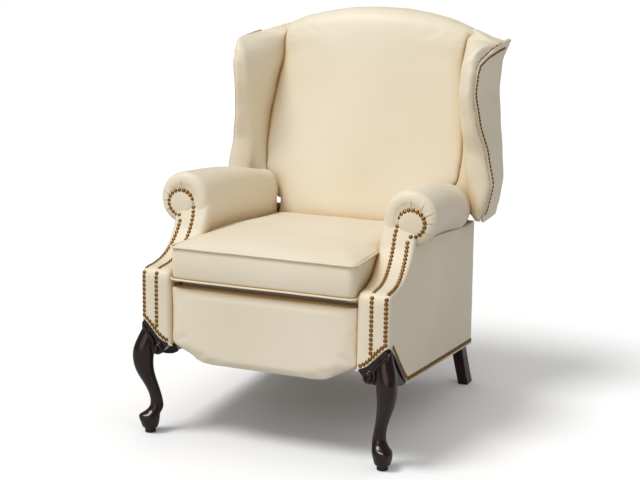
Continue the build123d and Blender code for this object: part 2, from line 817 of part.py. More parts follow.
stay_link = plate(
    LAYER_CARRIER,
    [CRANK_END, STAY_END],
    LINK_W - 2,
    [(CRANK_END, run), (STAY_END, loose)],
)
write_pair(stay_link, "stay_link")

BOARD_BACK_Y = REST_BACK_Y + BOARD_T
stay_stud = stud(STAY_END, LAYER_LINK + STEEL, carrier_top, carrier_top)

with BuildPart() as footrest_brackets:
    with BuildSketch(Plane.YZ.offset(LAYER_LINK)):
        with BuildLine():
            Polyline(
                (BOARD_BACK_Y, 276),
                (FOOT_PIVOT[0], FOOT_PIVOT[1] - LINK_W),
                (STAY_END[0] + 8, STAY_END[1] + 12),
                (BOARD_BACK_Y, 380),
                close=True,
            )
        make_face()
        with Locations(FOOT_PIVOT, STAY_END):
            Circle(LINK_W)
        with Locations(FOOT_PIVOT):
            Circle(run, mode=Mode.SUBTRACT)
    extrude(amount=STEEL)
    add(box_between((LAYER_LINK - 20, BOARD_BACK_Y, 276), (LAYER_LINK + STEEL, BOARD_BACK_Y + STEEL, 380)))
    add(stay_stud)
    mirror(about=Plane.YZ)
write(footrest_brackets.part, "footrest_brackets")

# ---------------------------------------------------------------- footrest


def rest_outline(y, inset):
    """Front outline of the footrest at y, its lower corners swept in to a narrower foot."""
    half = REST_HALF - inset
    with BuildSketch(Plane.XZ.offset(-y)) as outline:
        with BuildLine():
            top = Line((-half, REST_TOP_Z - inset), (half, REST_TOP_Z - inset))
            side = Line(top @ 1, (half, 262))
            foot_corner = (158 - inset, REST_LOW_Z + inset)
            sweep_in = Spline(side @ 1, (half - 52, 228), foot_corner, tangents=((-0.45, -1), (-1, -0.12)))
            foot = Line(sweep_in @ 1, (inset - 158, REST_LOW_Z + inset))
            other = Spline(foot @ 1, (52 - half, 228), (-half, 262), tangents=((-1, 0.12), (-0.45, 1)))
            Line(other @ 1, top @ 0)
        make_face()
    return outline.sketch


rest_block = extrude(rest_outline(REST_BACK_Y, 0), REST_BACK_Y - REST_FACE_Y - 9)
# crowned front: the edge rolls in over two steps
rest_edges = [rest_outline(REST_FACE_Y + y, inset) for y, inset in ((9, 0), (3, 2.5), (0, 9))]

with BuildPart() as footrest_pad:
    add(rest_block)
    for near, far in zip(rest_edges, rest_edges[1:]):
        add(near)
        add(far)
        loft(ruled=True)
write(footrest_pad.part, "footrest_pad")

footrest_board = extrude(rest_outline(BOARD_BACK_Y, 6), BOARD_T)
write(footrest_board, "footrest_board")

# ---------------------------------------------------------------- back: shared shapes

# Top edge of the back and wings, seen from the front, as (x, z) from the middle outwards
ARCH = [(0, HEIGHT), (80, 1089), (150, 1081), (212, 1070), (272, 1052), (336, 1028), (392, 1004)]


def arch_height(x):
    """Height of the arched top edge at x."""
    for (x0, z0), (x1, z1) in zip(ARCH, ARCH[1:]):
        if abs(x) <= x1:
            return along((abs(x) - x0) / (x1 - x0), z0, z1)
    return ARCH[-1][1]


def rear_y(z):
    """Outer face of the back's rear at height z."""
    return along((z - 500) / 540, BACK_REAR_Y, TOP_REAR_Y)


def arch_slab(drop, low_z, half, half_low=None, step_z=None):
    """Tall block under the arched top edge, wide above step_z and narrow below it."""
    right = [(x, z - drop) for x, z in ARCH if x < half] + [(half, arch_height(half) - drop)]
    left = [(-x, z) for x, z in reversed(right[1:])]
    with BuildSketch(Plane.XZ.offset(-100)) as front:
        with BuildLine():
            over = Spline(*left, *right)
            if half_low is None:
                Polyline(over @ 1, (half, low_z), (-half, low_z), over @ 0)
            else:
                Polyline(over @ 1, (half, step_z), (half_low, step_z), (half_low, low_z))
                Polyline((half_low, low_z), (-half_low, low_z), (-half_low, step_z))
                Polyline((-half_low, step_z), (-half, step_z), over @ 0)
        make_face()
    return extrude(front.sketch, amount=-500)


# Wing at each height: z, x and y of its front outer edge, x of its front inner edge,
# x of its rear outer edge
WING = [
    (511, 374, 236, 356, 369),
    (560, 391, 224, 354, 378),
    (619, 402, 226, 332, 383),
    (702, 385, 224, 322, 378),
    (788, 365, 196, 316, 370),
    (871, 356, 173, 313, 362),
    (949, 362, 172, 319, 366),
    (1015, 394, 190, 350, 386),
    (1070, 396, 204, 352, 388),
]
PANEL_T = 8
WING_BOARD_T = 16


def wing_loft(corners):
    """Loft through the wing's heights of the four-sided section that corners(row) gives."""
    with BuildPart() as solid:
        for row in WING:
            with BuildSketch(Plane.XY.offset(row[0])):
                with BuildLine():
                    Polyline(*corners(row), close=True)
                make_face()
        loft(ruled=True)
    return solid.part


def wing_side_block(inset):
    """Side view of the wing, rounded at its top front corner and its lower tip."""
    with BuildSketch(Plane.YZ.offset(200)) as side:
        with BuildLine():
            tail = Line((450, 511 + inset), (262, 511 + inset))
            rise = Spline(
                tail @ 1,
                (228 + inset, 524 + inset),
                (221 + inset, 560),
                (222 + inset, 640),
                (218 + inset, 720),
                (194 + inset, 790),
                (172 + inset, 868),
                (173 + inset, 930),
                (196 + inset, 968 - inset),
                (240, 990 - inset),
                (332, 1006 - inset),
                (450, 1060 - inset),
            )
            Line(rise @ 1, tail @ 0)
        make_face()
    return extrude(side.sketch, amount=250)


def shell_layer(near, far, inset):
    """A layer of the wing between two depths in from its outer face."""

    def corners(row):
        z, x, y, _, x_rear = row
        return [(x - near, y), (x_rear - near, 460), (x_rear - far, 460), (x - far, y)]

    layer = wing_loft(corners) & wing_side_block(inset)
    layer = layer & arch_slab(2 + inset, 400, 398)
    return layer


# ---------------------------------------------------------------- wings

with BuildPart() as rear_cut:
    with BuildSketch(Plane.YZ.offset(-420)):
        with BuildLine():
            low_inner = (rear_y(280) - 8.3, 280)
            high_inner = (rear_y(1120) - 8.3, 1120)
            Polyline(low_inner, high_inner, (600, 1120), (600, 280), close=True)
        make_face()
    extrude(amount=840)

wing_panel = shell_layer(0, PANEL_T, 0) - rear_cut.part
write_pair(Part(wing_panel.wrapped), "wing_panel")

board_in = PANEL_T + WING_BOARD_T
wing_board = shell_layer(PANEL_T, board_in, 14) - rear_cut.part
write_pair(Part(wing_board.wrapped), "wing_board")


def arm_room(x_low, x_high):
    """Space between two x that the arm keeps under the back."""
    with BuildSketch(Plane.YZ.offset(x_low)) as side:
        with BuildLine():
            Polyline(*ARM_CLEAR, (500, 280), (100, 280), close=True)
        make_face()
    return extrude(side.sketch, amount=x_high - x_low)


def wing_pad_corners(row):
    """Section of the wing's padding, from its front edge back to the padded back."""
    z, x, y, x_in, x_rear = row
    join_y = max(face_y(z) + 12, y + 20)
    return [
        (x - PANEL_T - 0.4, y + 1),
        (x_rear - PANEL_T - 0.4, 460),
        (BACK_HALF + 0.3, 460),
        (BACK_HALF + 0.3, join_y),
        (x_in, y + 16),
        (x_in + 9, y + 3),
    ]


board_pocket = shell_layer(PANEL_T - 4, board_in + 0.5, 12)
wing_pad = wing_loft(wing_pad_corners) & wing_side_block(0.5)
wing_pad = wing_pad & arch_slab(1, 400, 398)
wing_pad = wing_pad - board_pocket - rear_cut.part
wing_pad = wing_pad - arm_room(200, ARM_OUT_CLEAR)
write_pair(Part(wing_pad.wrapped), "wing_pad")



def wing_spot(y, z):
    """Point on the wing's outer face at y and z."""
    pairs = [(low, high) for low, high in zip(WING, WING[1:]) if low[0] <= z <= high[0]]
    low, high = pairs[0]
    t = (z - low[0]) / (high[0] - low[0])
    x, front, rear = [along(t, low[i], high[i]) for i in (1, 2, 4)]
    return (at_y(y, x, rear, front, 460), y, z)


# Nail row on the outer face, along the wing's front edge from its lower tip over to its top corner
EDGE_INSET = 6
wing_edge = [(240, 531), *[(row[2] + EDGE_INSET, row[0]) for row in WING[1:-2]], (206, 962), (245, 983)]
wing_edge += [(300, 993), (380, 999)]
wing_row = Spline(*[wing_spot(y, z) for y, z in wing_edge])
WING_OUT = Vector(0.997, 0.06, 0)
wing_spots = [
    (Vector(*wing_spot(spot.Y, spot.Z)) + WING_OUT * NAIL_LIFT, WING_OUT)
    for spot, _ in nails_on(wing_row, facing(WING_OUT))
]
wing_nails = [nailheads(wing_spots, side) for side in (1, -1)]
write(Compound([head for group in wing_nails for head in group.solids()]), "wing_nailheads")

WELT_IN = 7
welt_points = [(row[1] - WELT_IN, row[2] - 0.5, row[0]) for row in WING[1:-2]]
welt_points += [(363, 186, 967), (376, 238, 993), (384, 330, 1010)]

wing_pipe = pipe_along(welt_points, radius=2.2, bend=6)

# the piping is pinched in the seam between the pad and the outer panel
with BuildPart() as wing_welts:
    add(wing_pipe)
    mirror(about=Plane.YZ)
write(wing_welts.part, "wing_welts")

# ---------------------------------------------------------------- back frame


def back_board(x, wide, y_low, z_low, y_high, z_high, deep):
    """Raked board of the back frame, from its lower front corner to its upper one."""
    with BuildPart() as board:
        with BuildSketch(Plane.YZ.offset(x)):
            with BuildLine():
                front_edge = Line((y_low, z_low), (y_high, z_high))
                Polyline(front_edge @ 1, (y_high + deep, z_high), (y_low + deep, z_low), front_edge @ 0)
            make_face()
        extrude(amount=wide)
    return board.part


STILE_IN = 190
STILE_OUT = 220
FOAM = 38

stile_low = (face_y(378) + FOAM + 8, 378)
stile_high = (face_y(1000) + FOAM + 2, 1000)
left_stile = back_board(STILE_IN, STILE_OUT - STILE_IN, *stile_low, *stile_high, 36)

with BuildPart() as back_stiles:
    add(left_stile)
    mirror(about=Plane.YZ)
write(back_stiles.part, "back_stiles")

with BuildPart() as back_bottom_rail:
    rail_y = face_y(378) + FOAM + 12
    add(box_between((-STILE_IN, rail_y, 378), (STILE_IN, rail_y + 26, 420)))
write(back_bottom_rail.part, "back_bottom_rail")

top_rail_block = arch_slab(38, 1001, 276)
top_rail = top_rail_block & box_between((-300, 384, 900), (300, 410, 1100))
write(Part(top_rail.wrapped), "back_top_rail")

spring_low = (face_y(420) + FOAM + 18, 421)
spring_high = (face_y(1000) + FOAM + 18, 1000)
back_spring_length = math.dist(spring_low, spring_high)
lean_y = (spring_high[0] - spring_low[0]) / back_spring_length
lean_z = (spring_high[1] - spring_low[1]) / back_spring_length
back_rows = []
for x in (-120, -40, 40, 120):
    spring_plane = Plane(origin=(x, *spring_low), x_dir=(1, 0, 0), z_dir=(0, -lean_z, lean_y))
    back_rows.extend(sinuous_spring(spring_plane, back_spring_length).solids())
write(Compound(back_rows), "back_springs")

# ---------------------------------------------------------------- padded back


def back_section(x):
    """Side section of the padded back at x: raked face rolling over the arched top."""
    edge = (x / BACK_HALF) ** 2
    recede = 7 * edge
    top = arch_height(x)
    front_top = (face_y(top - 88) + recede, top - 88)
    crest = (TOP_REAR_Y - 34, top)
    with BuildSketch(Plane.YZ.offset(x)) as side:
        with BuildLine():
            face = Line((face_y(BACK_LOW_Z) + recede, BACK_LOW_Z), front_top)
            middle = ((front_top[0] + crest[0]) / 2 - 13, (front_top[1] + crest[1]) / 2 + 15)
            roll = ThreePointArc(face @ 1, middle, crest)
            lip = Line(roll @ 1, (TOP_REAR_Y - 9, top - 3))
            rear = Line(lip @ 1, (TOP_REAR_Y - 9, top - 32))
            under = Line(rear @ 1, (face_y(top - 88) + FOAM + 10, top - 34))
            inner = Line(under @ 1, (face_y(BACK_LOW_Z) + FOAM, BACK_LOW_Z))
            Line(inner @ 1, face @ 0)
        make_face()
    return side.sketch


back_sections = [back_section(x) for x in (-BACK_HALF, -170, 0, 170, BACK_HALF)]

with BuildPart() as back_cushion:
    for section in back_sections:
        add(section)
    loft()
    add(arm_room(BACK_HALF_LOW, 300), mode=Mode.SUBTRACT)
    add(arm_room(-300, -BACK_HALF_LOW), mode=Mode.SUBTRACT)
write(back_cushion.part, "back_cushion")

with BuildPart() as rear_sheet:
    with BuildSketch(Plane.YZ.offset(-400)):
        with BuildLine():
            Polyline(
                (rear_y(SKIRT_Z) - 8, SKIRT_Z),
                (rear_y(1110) - 8, 1110),
                (rear_y(1110), 1110),
                (rear_y(SKIRT_Z), SKIRT_Z),
                close=True,
            )
        make_face()
    extrude(amount=800)
outside_back = rear_sheet.part & arch_slab(1, SKIRT_Z, 378, BACK_HALF_LOW - 2, 511)
write(Part(outside_back.wrapped), "outside_back")

with BuildPart() as back_brackets:
    with BuildSketch(Plane.YZ.offset(LAYER_LINK)):
        with Locations(RECLINE_PIVOT):
            Circle(13.5)
        with Locations((250, 470)):
            Circle(11)
        make_hull()
        with Locations(RECLINE_PIVOT):
            Circle(6 + RUN_CLEAR, mode=Mode.SUBTRACT)
    extrude(amount=STEEL)
    add(box_between((STILE_OUT, 246, 440), (LAYER_LINK, 262, 478)))
    mirror(about=Plane.YZ)
write(back_brackets.part, "back_brackets")
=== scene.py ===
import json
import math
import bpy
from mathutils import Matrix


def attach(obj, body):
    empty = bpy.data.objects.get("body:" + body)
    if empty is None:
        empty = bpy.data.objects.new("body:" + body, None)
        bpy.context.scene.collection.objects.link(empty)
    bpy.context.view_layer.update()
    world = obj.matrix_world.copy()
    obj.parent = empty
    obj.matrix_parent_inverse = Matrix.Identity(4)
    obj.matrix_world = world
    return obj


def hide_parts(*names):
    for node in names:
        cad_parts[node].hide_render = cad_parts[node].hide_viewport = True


bl_info = {
    "name": "Wing recliner",
    "version": (1, 0, 0),
    "blender": (4, 5, 0),
    "location": "View3D > Sidebar > Recliner",
    "description": "Upholstery, carved legs, nail trim and finishes of a push-back wing recliner",
    "category": "Object",
}

import bpy
from mathutils import Matrix, Vector, noise
from mathutils.bvhtree import BVHTree

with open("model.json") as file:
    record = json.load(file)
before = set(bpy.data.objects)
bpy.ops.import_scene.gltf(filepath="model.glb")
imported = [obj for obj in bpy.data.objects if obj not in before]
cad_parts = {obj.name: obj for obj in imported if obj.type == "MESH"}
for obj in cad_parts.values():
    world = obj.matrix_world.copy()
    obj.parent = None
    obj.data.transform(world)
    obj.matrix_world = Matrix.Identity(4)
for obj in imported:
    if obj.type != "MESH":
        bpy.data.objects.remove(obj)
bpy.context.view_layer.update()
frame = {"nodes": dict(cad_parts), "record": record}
MM = 0.001

# ---------------------------------------------------------------- lines of the chair, in millimetres

SIDE_X = 335  # outer face of the arm fronts and of the side panels at their front
SIDE_X_REAR = 327  # the same at the rear
POST_IN = 256.5  # inner edge of the front posts
FRONT_Y = -408  # face of the front posts
REAR_Y = 371  # rear edge of the side panels
ROLL_FRONT_Y = -219
ROLL_REAR_Y = 200
ROLL_END_Y = 219  # where the padding of the roll ends, near the back
ROLL_STEPS = 170  # steps round the roll's outside in each section
ROLL_FRONT = (316, 595, 72)  # x, z, radius
ROLL_REAR = (283, 546, 68)
SCROLL = (326, 585, 34)  # centre x, z and radius of the nail ring
SCROLL_Y = -223
INNER_ARM = (252.5, 237)  # x of the arm's inner face, front and rear
ROLL_INNER = (246.5, 237)  # the same on the roll
# Front of the arm seen from the side, y and z, and the cut-out over the front leg seen from the
# front, x and z, and from the side, y and z
ARM_LINE = [(-228, 542), (-241, 516), (-267, 485), (-306, 458), (-350, 445), (-392, 441)]
FRONT_NOTCH = [(256.5, 250), (286, 265), (312, 294), (335, 315)]
SIDE_NOTCH = [(-408, 315), (-372, 300), (-335, 262), (-295, 222), (-252, 184)]
PANEL_REAR_Z = 126  # lower edge of the side panels at their rear
SEAM_TOP_Z = 509  # seams of the seat cushion
SEAM_LOW_Z = 426
CUSHION_FRONT = (251, -417, 20)  # half width, y and corner radius
CUSHION_REAR = (220, 12)  # half width and corner radius
DECK_Z = 412.2  # top of the deck under the cushion
PIPING_R = 2.8
FACE_AT_SEAT = (205, 490)  # y and z of the padded back's middle, near the seat
RAKE = math.tan(math.radians(14))
BACK_REAR = (402, 432)  # y of the rear face at these two heights
BACK_REAR_Z = (500, 1040)
BACK_EDGE_X = 285  # half width of the padded back at its crest
BACK_LOW_Z = 376  # lower end of the padded back
BACK_ROLL = 88  # height over which the padding rolls over the top
BACK_LOW_HALF = 233  # half width that stays clear of the arms, up to this height
ARM_TOP_Z = 540
# Arched top edge of the back, x and z
ARCH = [(0, 1092), (80, 1089), (150, 1079), (212, 1065), (260, 1048), (300, 1030), (336, 1017), (392, 1003)]
# Wing at each height: z, x and y of its front outer edge, x of its front inner edge, x at the rear
WING = [
    (511, 374, 236, 356, 369),
    (530, 380, 230, 345, 372),
    (560, 391, 224, 335, 378),
    (619, 402, 226, 332, 383),
    (702, 385, 224, 322, 378),
    (788, 365, 196, 316, 370),
    (871, 356, 173, 313, 362),
    (949, 362, 172, 319, 366),
    (1015, 394, 190, 360, 386),
]
WING_REAR_Y = 460  # where the x at the rear is measured
WING_FOOT_Z = 530  # below this the wing is a thin tail outside the arm
WING_CLEAR_Z = 630  # above this the arm is out of its way
WING_TOP_Z = 1009  # where the flat wing ends and the soft shoulder starts
# Front edge of the wing seen from the side, z and y: along its welt, then along its inner ridge
WING_EDGE = [
    (511, 250), (524, 228), (560, 222), (619, 226), (702, 224), (788, 196),
    (871, 173), (930, 172), (962, 190), (984, 236), (998, 300), (1004, 360), (1009, 430),
]  # fmt: skip
WING_RIDGE = [
    (511, 246), (524, 226), (560, 220), (619, 226), (702, 224), (788, 196),
    (871, 173), (930, 171), (965, 174), (984, 184), (997, 203), (1004, 240), (1009, 320),
]  # fmt: skip
# Half width of the padded back where it meets the wings, at each height
BACK_HALF = [
    (374, 230), (500, 234), (535, 234), (572, 262), (620, 298), (690, 304),
    (772, 302), (862, 293), (940, 279), (1000, 280), (1092, 286),
]  # fmt: skip


def value_at(table, at):
    """Value of a table of (place, value) pairs at a place, eased between the rows."""
    if at <= table[0][0]:
        return table[0][1]
    for (a, low), (b, high) in zip(table, table[1:]):
        if at <= b:
            t = (at - a) / (b - a)
            return low + (high - low) * t * t * (3 - 2 * t) * 0.5 + (high - low) * t * 0.5
    return table[-1][1]


def row_at(table, at):
    """Values of a table's other columns at a place in its first column."""
    return [value_at([(row[0], row[i]) for row in table], at) for i in range(1, len(table[0]))]


def between(a, b, t):
    """Number a fraction t of the way from a to b."""
    return a + (b - a) * t


def clamped(value, low=0.0, high=1.0):
    """Number kept between two limits."""
    return max(low, min(high, value))


def along_roll(y):
    """Fraction of the way along the arm roll at y."""
    return (y - ROLL_FRONT_Y) / (ROLL_REAR_Y - ROLL_FRONT_Y)


def roll_at(y):
    """Centre x, z and radius of the arm roll at y."""
    t = along_roll(y)
    x, z, r = [between(a, b, t) for a, b in zip(ROLL_FRONT, ROLL_REAR)]
    return (x, z + 12 * math.sin(math.pi * clamped(t)) + 5 * max(0.0, t), r)


def face_y(z):
    """Front of the padded back's middle at height z."""
    return FACE_AT_SEAT[0] + (z - FACE_AT_SEAT[1]) * RAKE


def rear_y(z):
    """Outer face of the chair's rear at height z."""
    return between(*BACK_REAR, (z - BACK_REAR_Z[0]) / (BACK_REAR_Z[1] - BACK_REAR_Z[0]))


def side_x(y):
    """Outer face of the side panel at y."""
    return between(SIDE_X, SIDE_X_REAR, (y - FRONT_Y) / (REAR_Y - FRONT_Y))


def curve_through(points, steps=10):
    """Points along a smooth curve that passes through the given points."""
    spots = [Vector(p) for p in points]
    spots = [spots[0] * 2 - spots[1], *spots, spots[-1] * 2 - spots[-2]]
    line = []
    for a, b, c, d in zip(spots, spots[1:], spots[2:], spots[3:]):
        for i in range(steps):
            t = i / steps
            square, cube = 2 * a - 5 * b + 4 * c - d, 3 * b - a - 3 * c + d
            line.append(0.5 * (2 * b + (c - a) * t + square * t * t + cube * t**3))
    return [*line, spots[-2]]


def spaced(line, pitch):
    """Points at an even pitch along a line of points, the first half a pitch in."""
    lengths = [0.0]
    for a, b in zip(line, line[1:]):
        lengths.append(lengths[-1] + (b - a).length)
    count = max(1, round(lengths[-1] / pitch))
    found, k = [], 0
    for i in range(count):
        want = (i + 0.5) / count * lengths[-1]
        while lengths[k + 1] < want:
            k += 1
        t = (want - lengths[k]) / (lengths[k + 1] - lengths[k])
        found.append(line[k].lerp(line[k + 1], t))
    return found


def arch_z(x):
    """Height of the arched top edge at x."""
    return value_at(ARCH, abs(x))


def wing_row(z):
    """x and y of the wing's front outer edge, its front inner x and its rear x at height z."""
    return row_at(WING, z)


def wing_outer_x(y, z):
    """Outer face of the wing at y and z."""
    x, front, _, x_rear = wing_row(z)
    return between(x, x_rear, (y - front) / (WING_REAR_Y - front))


# ---------------------------------------------------------------- making meshes


def deselect():
    """Nothing selected and nothing in edit mode."""
    if bpy.context.object and bpy.context.object.mode != "OBJECT":
        bpy.ops.object.mode_set(mode="OBJECT")
    bpy.ops.object.select_all(action="DESELECT")


def choose(obj):
    """Makes a piece the only selected one."""
    deselect()
    obj.select_set(True)
    bpy.context.view_layer.objects.active = obj
    return obj


def piece_from(name, points, faces):
    """New piece from points in millimetres and its faces."""
    mesh = bpy.data.meshes.new(name)
    mesh.from_pydata([Vector(p) * MM for p in points], [], faces)
    obj = bpy.data.objects.new(name, mesh)
    bpy.context.scene.collection.objects.link(obj)
    return choose(obj)


def outward(obj):
    """Doubles merged and every face turned outwards."""
    choose(obj)
    bpy.ops.object.mode_set(mode="EDIT")
    bpy.ops.mesh.select_all(action="SELECT")
    bpy.ops.mesh.remove_doubles(threshold=0.00005)
    bpy.ops.mesh.normals_make_consistent(inside=False)
    bpy.ops.object.mode_set(mode="OBJECT")
    return obj


def skin(name, rings):
    """Closed tube of leather or wood through rings of equal counts of points."""
    count = len(rings[0])
    points = [p for ring in rings for p in ring]
    faces = []
    for r in range(len(rings) - 1):
        for i in range(count):
            j = (i + 1) % count
            faces.append((r * count + i, r * count + j, (r + 1) * count + j, (r + 1) * count + i))
    for r in (0, len(rings) - 1):
        hub = len(points)
        points.append(sum((Vector(p) for p in rings[r]), Vector()) / count)
        faces += [(r * count + i, r * count + (i + 1) % count, hub) for i in range(count)]
    return outward(piece_from(name, points, faces))


def cloth_sheet(name, rows, thick):
    """Open sheet through rows of points, given a thickness inwards; its front is on its first side."""
    wide = len(rows[0])
    points = [p for row in rows for p in row]
    faces = []
    for r in range(len(rows) - 1):
        for i in range(wide - 1):
            faces.append((r * wide + i, r * wide + i + 1, (r + 1) * wide + i + 1, (r + 1) * wide + i))
    obj = piece_from(name, points, faces)
    modifier(obj, "SOLIDIFY", thickness=thick * MM, offset=-1, use_even_offset=True)
    return obj


def modifier(obj, kind, **settings):
    """Adds one modifier and applies it."""
    choose(obj)
    made = obj.modifiers.new(kind.lower(), kind)
    for key, value in settings.items():
        setattr(made, key, value)
    bpy.ops.object.modifier_apply(modifier=made.name)
    return obj


def smooth(obj, angle=None):
    """Smooth shading, with edges sharper than an angle in degrees kept crisp."""
    choose(obj)
    if angle is None:
        bpy.ops.object.shade_smooth()
    else:
        bpy.ops.object.shade_smooth_by_angle(angle=math.radians(angle))
    return obj


def remesh(obj, voxel, rounds):
    """Even small faces over a closed form, its corners eased."""
    choose(obj)
    obj.data.remesh_voxel_size = voxel * MM
    obj.data.remesh_voxel_adaptivity = 0
    bpy.ops.object.voxel_remesh()
    return modifier(obj, "SMOOTH", factor=0.5, iterations=rounds)


def mirrored(obj, name):
    """The same piece on the chair's other side, with its own mesh."""
    twin = obj.copy()
    twin.data = obj.data.copy()
    twin.name = name
    bpy.context.scene.collection.objects.link(twin)
    twin.data.transform(Matrix.Scale(-1, 4, (1, 0, 0)))
    twin.data.flip_normals()
    return twin


def moved_points(obj, move):
    """Moves each point of a piece, in millimetres, by a function of its place and normal."""
    places = [(v.co / MM, v.normal.copy()) for v in obj.data.vertices]
    for vertex, (spot, normal) in zip(obj.data.vertices, places):
        vertex.co = Vector(move(spot, normal)) * MM
    obj.data.update()
    return obj


def fill_with_foam(obj, pressure, cap, hold, frames):
    """Swells a padded piece by cloth simulation, by cap at most; hold says where it is held, 0 to 1."""
    stiff = 18.0
    choose(obj)
    rest = [v.co.copy() for v in obj.data.vertices]
    pins = obj.vertex_groups.new(name="held")
    for vertex in obj.data.vertices:
        pins.add([vertex.index], hold(vertex.co / MM), "REPLACE")
    made = obj.modifiers.new("foam", "CLOTH")
    made.settings.quality = 4
    made.settings.mass = 0.4
    made.settings.tension_stiffness = stiff
    made.settings.compression_stiffness = stiff
    made.settings.shear_stiffness = stiff * 0.5
    made.settings.bending_stiffness = 2.5
    made.settings.tension_damping = 8
    made.settings.vertex_group_mass = "held"
    made.settings.use_pressure = True
    made.settings.uniform_pressure_force = pressure
    made.settings.effector_weights.gravity = 0
    made.collision_settings.use_collision = False
    made.point_cache.frame_start = 1
    made.point_cache.frame_end = frames
    for step in range(1, frames + 1):
        bpy.context.scene.frame_set(step)
    bpy.ops.object.modifier_apply(modifier=made.name)
    bpy.context.scene.frame_set(1)
    for vertex, before in zip(obj.data.vertices, rest):
        way = vertex.co - before
        if way.length > cap * MM:
            vertex.co = before + way.normalized() * cap * MM
    obj.vertex_groups.clear()
    modifier(obj, "SMOOTH", factor=0.4, iterations=2)


def round_cord(name, points, radius, closed=False, steps=10, smooth_line=True):
    """Round piping or wire along points, as a mesh."""
    line = curve_through(points, steps) if smooth_line else [Vector(p) for p in points]
    data = bpy.data.curves.new(name, "CURVE")
    data.dimensions = "3D"
    data.bevel_depth = radius * MM
    data.bevel_resolution = 3
    data.use_fill_caps = not closed
    spline = data.splines.new("POLY")
    spline.points.add(len(line) - 1)
    for spot, at in zip(spline.points, line):
        spot.co = (*(at * MM), 1)
    spline.use_cyclic_u = closed
    obj = bpy.data.objects.new(name, data)
    bpy.context.scene.collection.objects.link(obj)
    choose(obj)
    bpy.ops.object.convert(target="MESH")
    obj = bpy.context.object
    return smooth(outward(obj))


def joined(name, parts):
    """Several objects as one piece."""
    deselect()
    for part in parts:
        part.select_set(True)
    bpy.context.view_layer.objects.active = parts[0]
    if len(parts) > 1:
        bpy.ops.object.join()
    obj = bpy.context.object
    obj.name = name
    obj.data.name = name
    return obj


def finish_piece(obj, slot, body, nodes=()):
    """Gives a piece its material and its body, and hides the CAD nodes it stands for."""
    obj.data.materials.clear()
    obj.data.materials.append(material(slot))
    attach(obj, body)
    if nodes:
        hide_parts(*nodes)


def finish_both(left, slot, body, node=None):
    """Finishes a left piece and its mirrored twin, which stand for the node on their own side."""
    right = mirrored(left, left.name.replace("_left", "_right"))
    for piece, side in ((left, "_left"), (right, "_right")):
        finish_piece(piece, slot, body, [node + side] if node else ())


# ---------------------------------------------------------------- materials


def linear(code):
    """Linear colour of an sRGB hex value."""
    parts = [int(code[i : i + 2], 16) / 255 for i in (1, 3, 5)]
    parts = [c / 12.92 if c <= 0.04045 else ((c + 0.055) / 1.055) ** 2.4 for c in parts]
    return (*parts, 1.0)


def add_node(tree, kind, links=(), stops=(), **settings):
    """Adds a node: settings are properties or inputs, links (input, socket), stops (place, hex colour)."""
    node = tree.nodes.new(kind)
    for key, value in settings.items():
        if key.startswith("in_"):
            name = key[3:]
            socket = node.inputs[int(name)] if name.isdigit() else node.inputs[name.replace("_", " ")]
            socket.default_value = value
        else:
            setattr(node, key, value)
    for name, socket in links:
        tree.links.new(socket, node.inputs[name])
    for k, (place, code) in enumerate(stops):
        node.color_ramp.elements[k].position = place
        node.color_ramp.elements[k].color = linear(code)
    return node


def new_material(name):
    """Empty material with its shader and output; returns it with its tree and shader."""
    made = bpy.data.materials.new(name)
    made.use_nodes = True
    tree = made.node_tree
    tree.nodes.clear()
    shader = add_node(tree, "ShaderNodeBsdfPrincipled")
    add_node(tree, "ShaderNodeOutputMaterial", [("Surface", shader.outputs[0])])
    return made, tree, shader


def set_inputs(shader, **values):
    """Sets a shader's own sockets by name."""
    for key, value in values.items():
        shader.inputs[key.replace("_", " ")].default_value = value


def surface(tree, shader, pattern, stops, relief=None):
    """Colour of a surface from a pattern, and relief (strength, depth in metres) from the same pattern."""
    tone = add_node(tree, "ShaderNodeValToRGB", [("Fac", pattern)], stops)
    tree.links.new(tone.outputs["Color"], shader.inputs["Base Color"])
    if relief:
        strength, depth = relief
        height = [("Height", pattern)]
        bump = add_node(tree, "ShaderNodeBump", height, in_Strength=strength, in_Distance=depth)
        tree.links.new(bump.outputs[0], shader.inputs["Normal"])


def object_space(tree, scale=(1, 1, 1), rotation=(0, 0, 0)):
    """Object coordinates in metres, turned and stretched by a scale."""
    place = add_node(tree, "ShaderNodeTexCoord").outputs["Object"]
    mapping = add_node(tree, "ShaderNodeMapping", [("Vector", place)], in_Scale=scale, in_Rotation=rotation)
    return mapping.outputs[0]


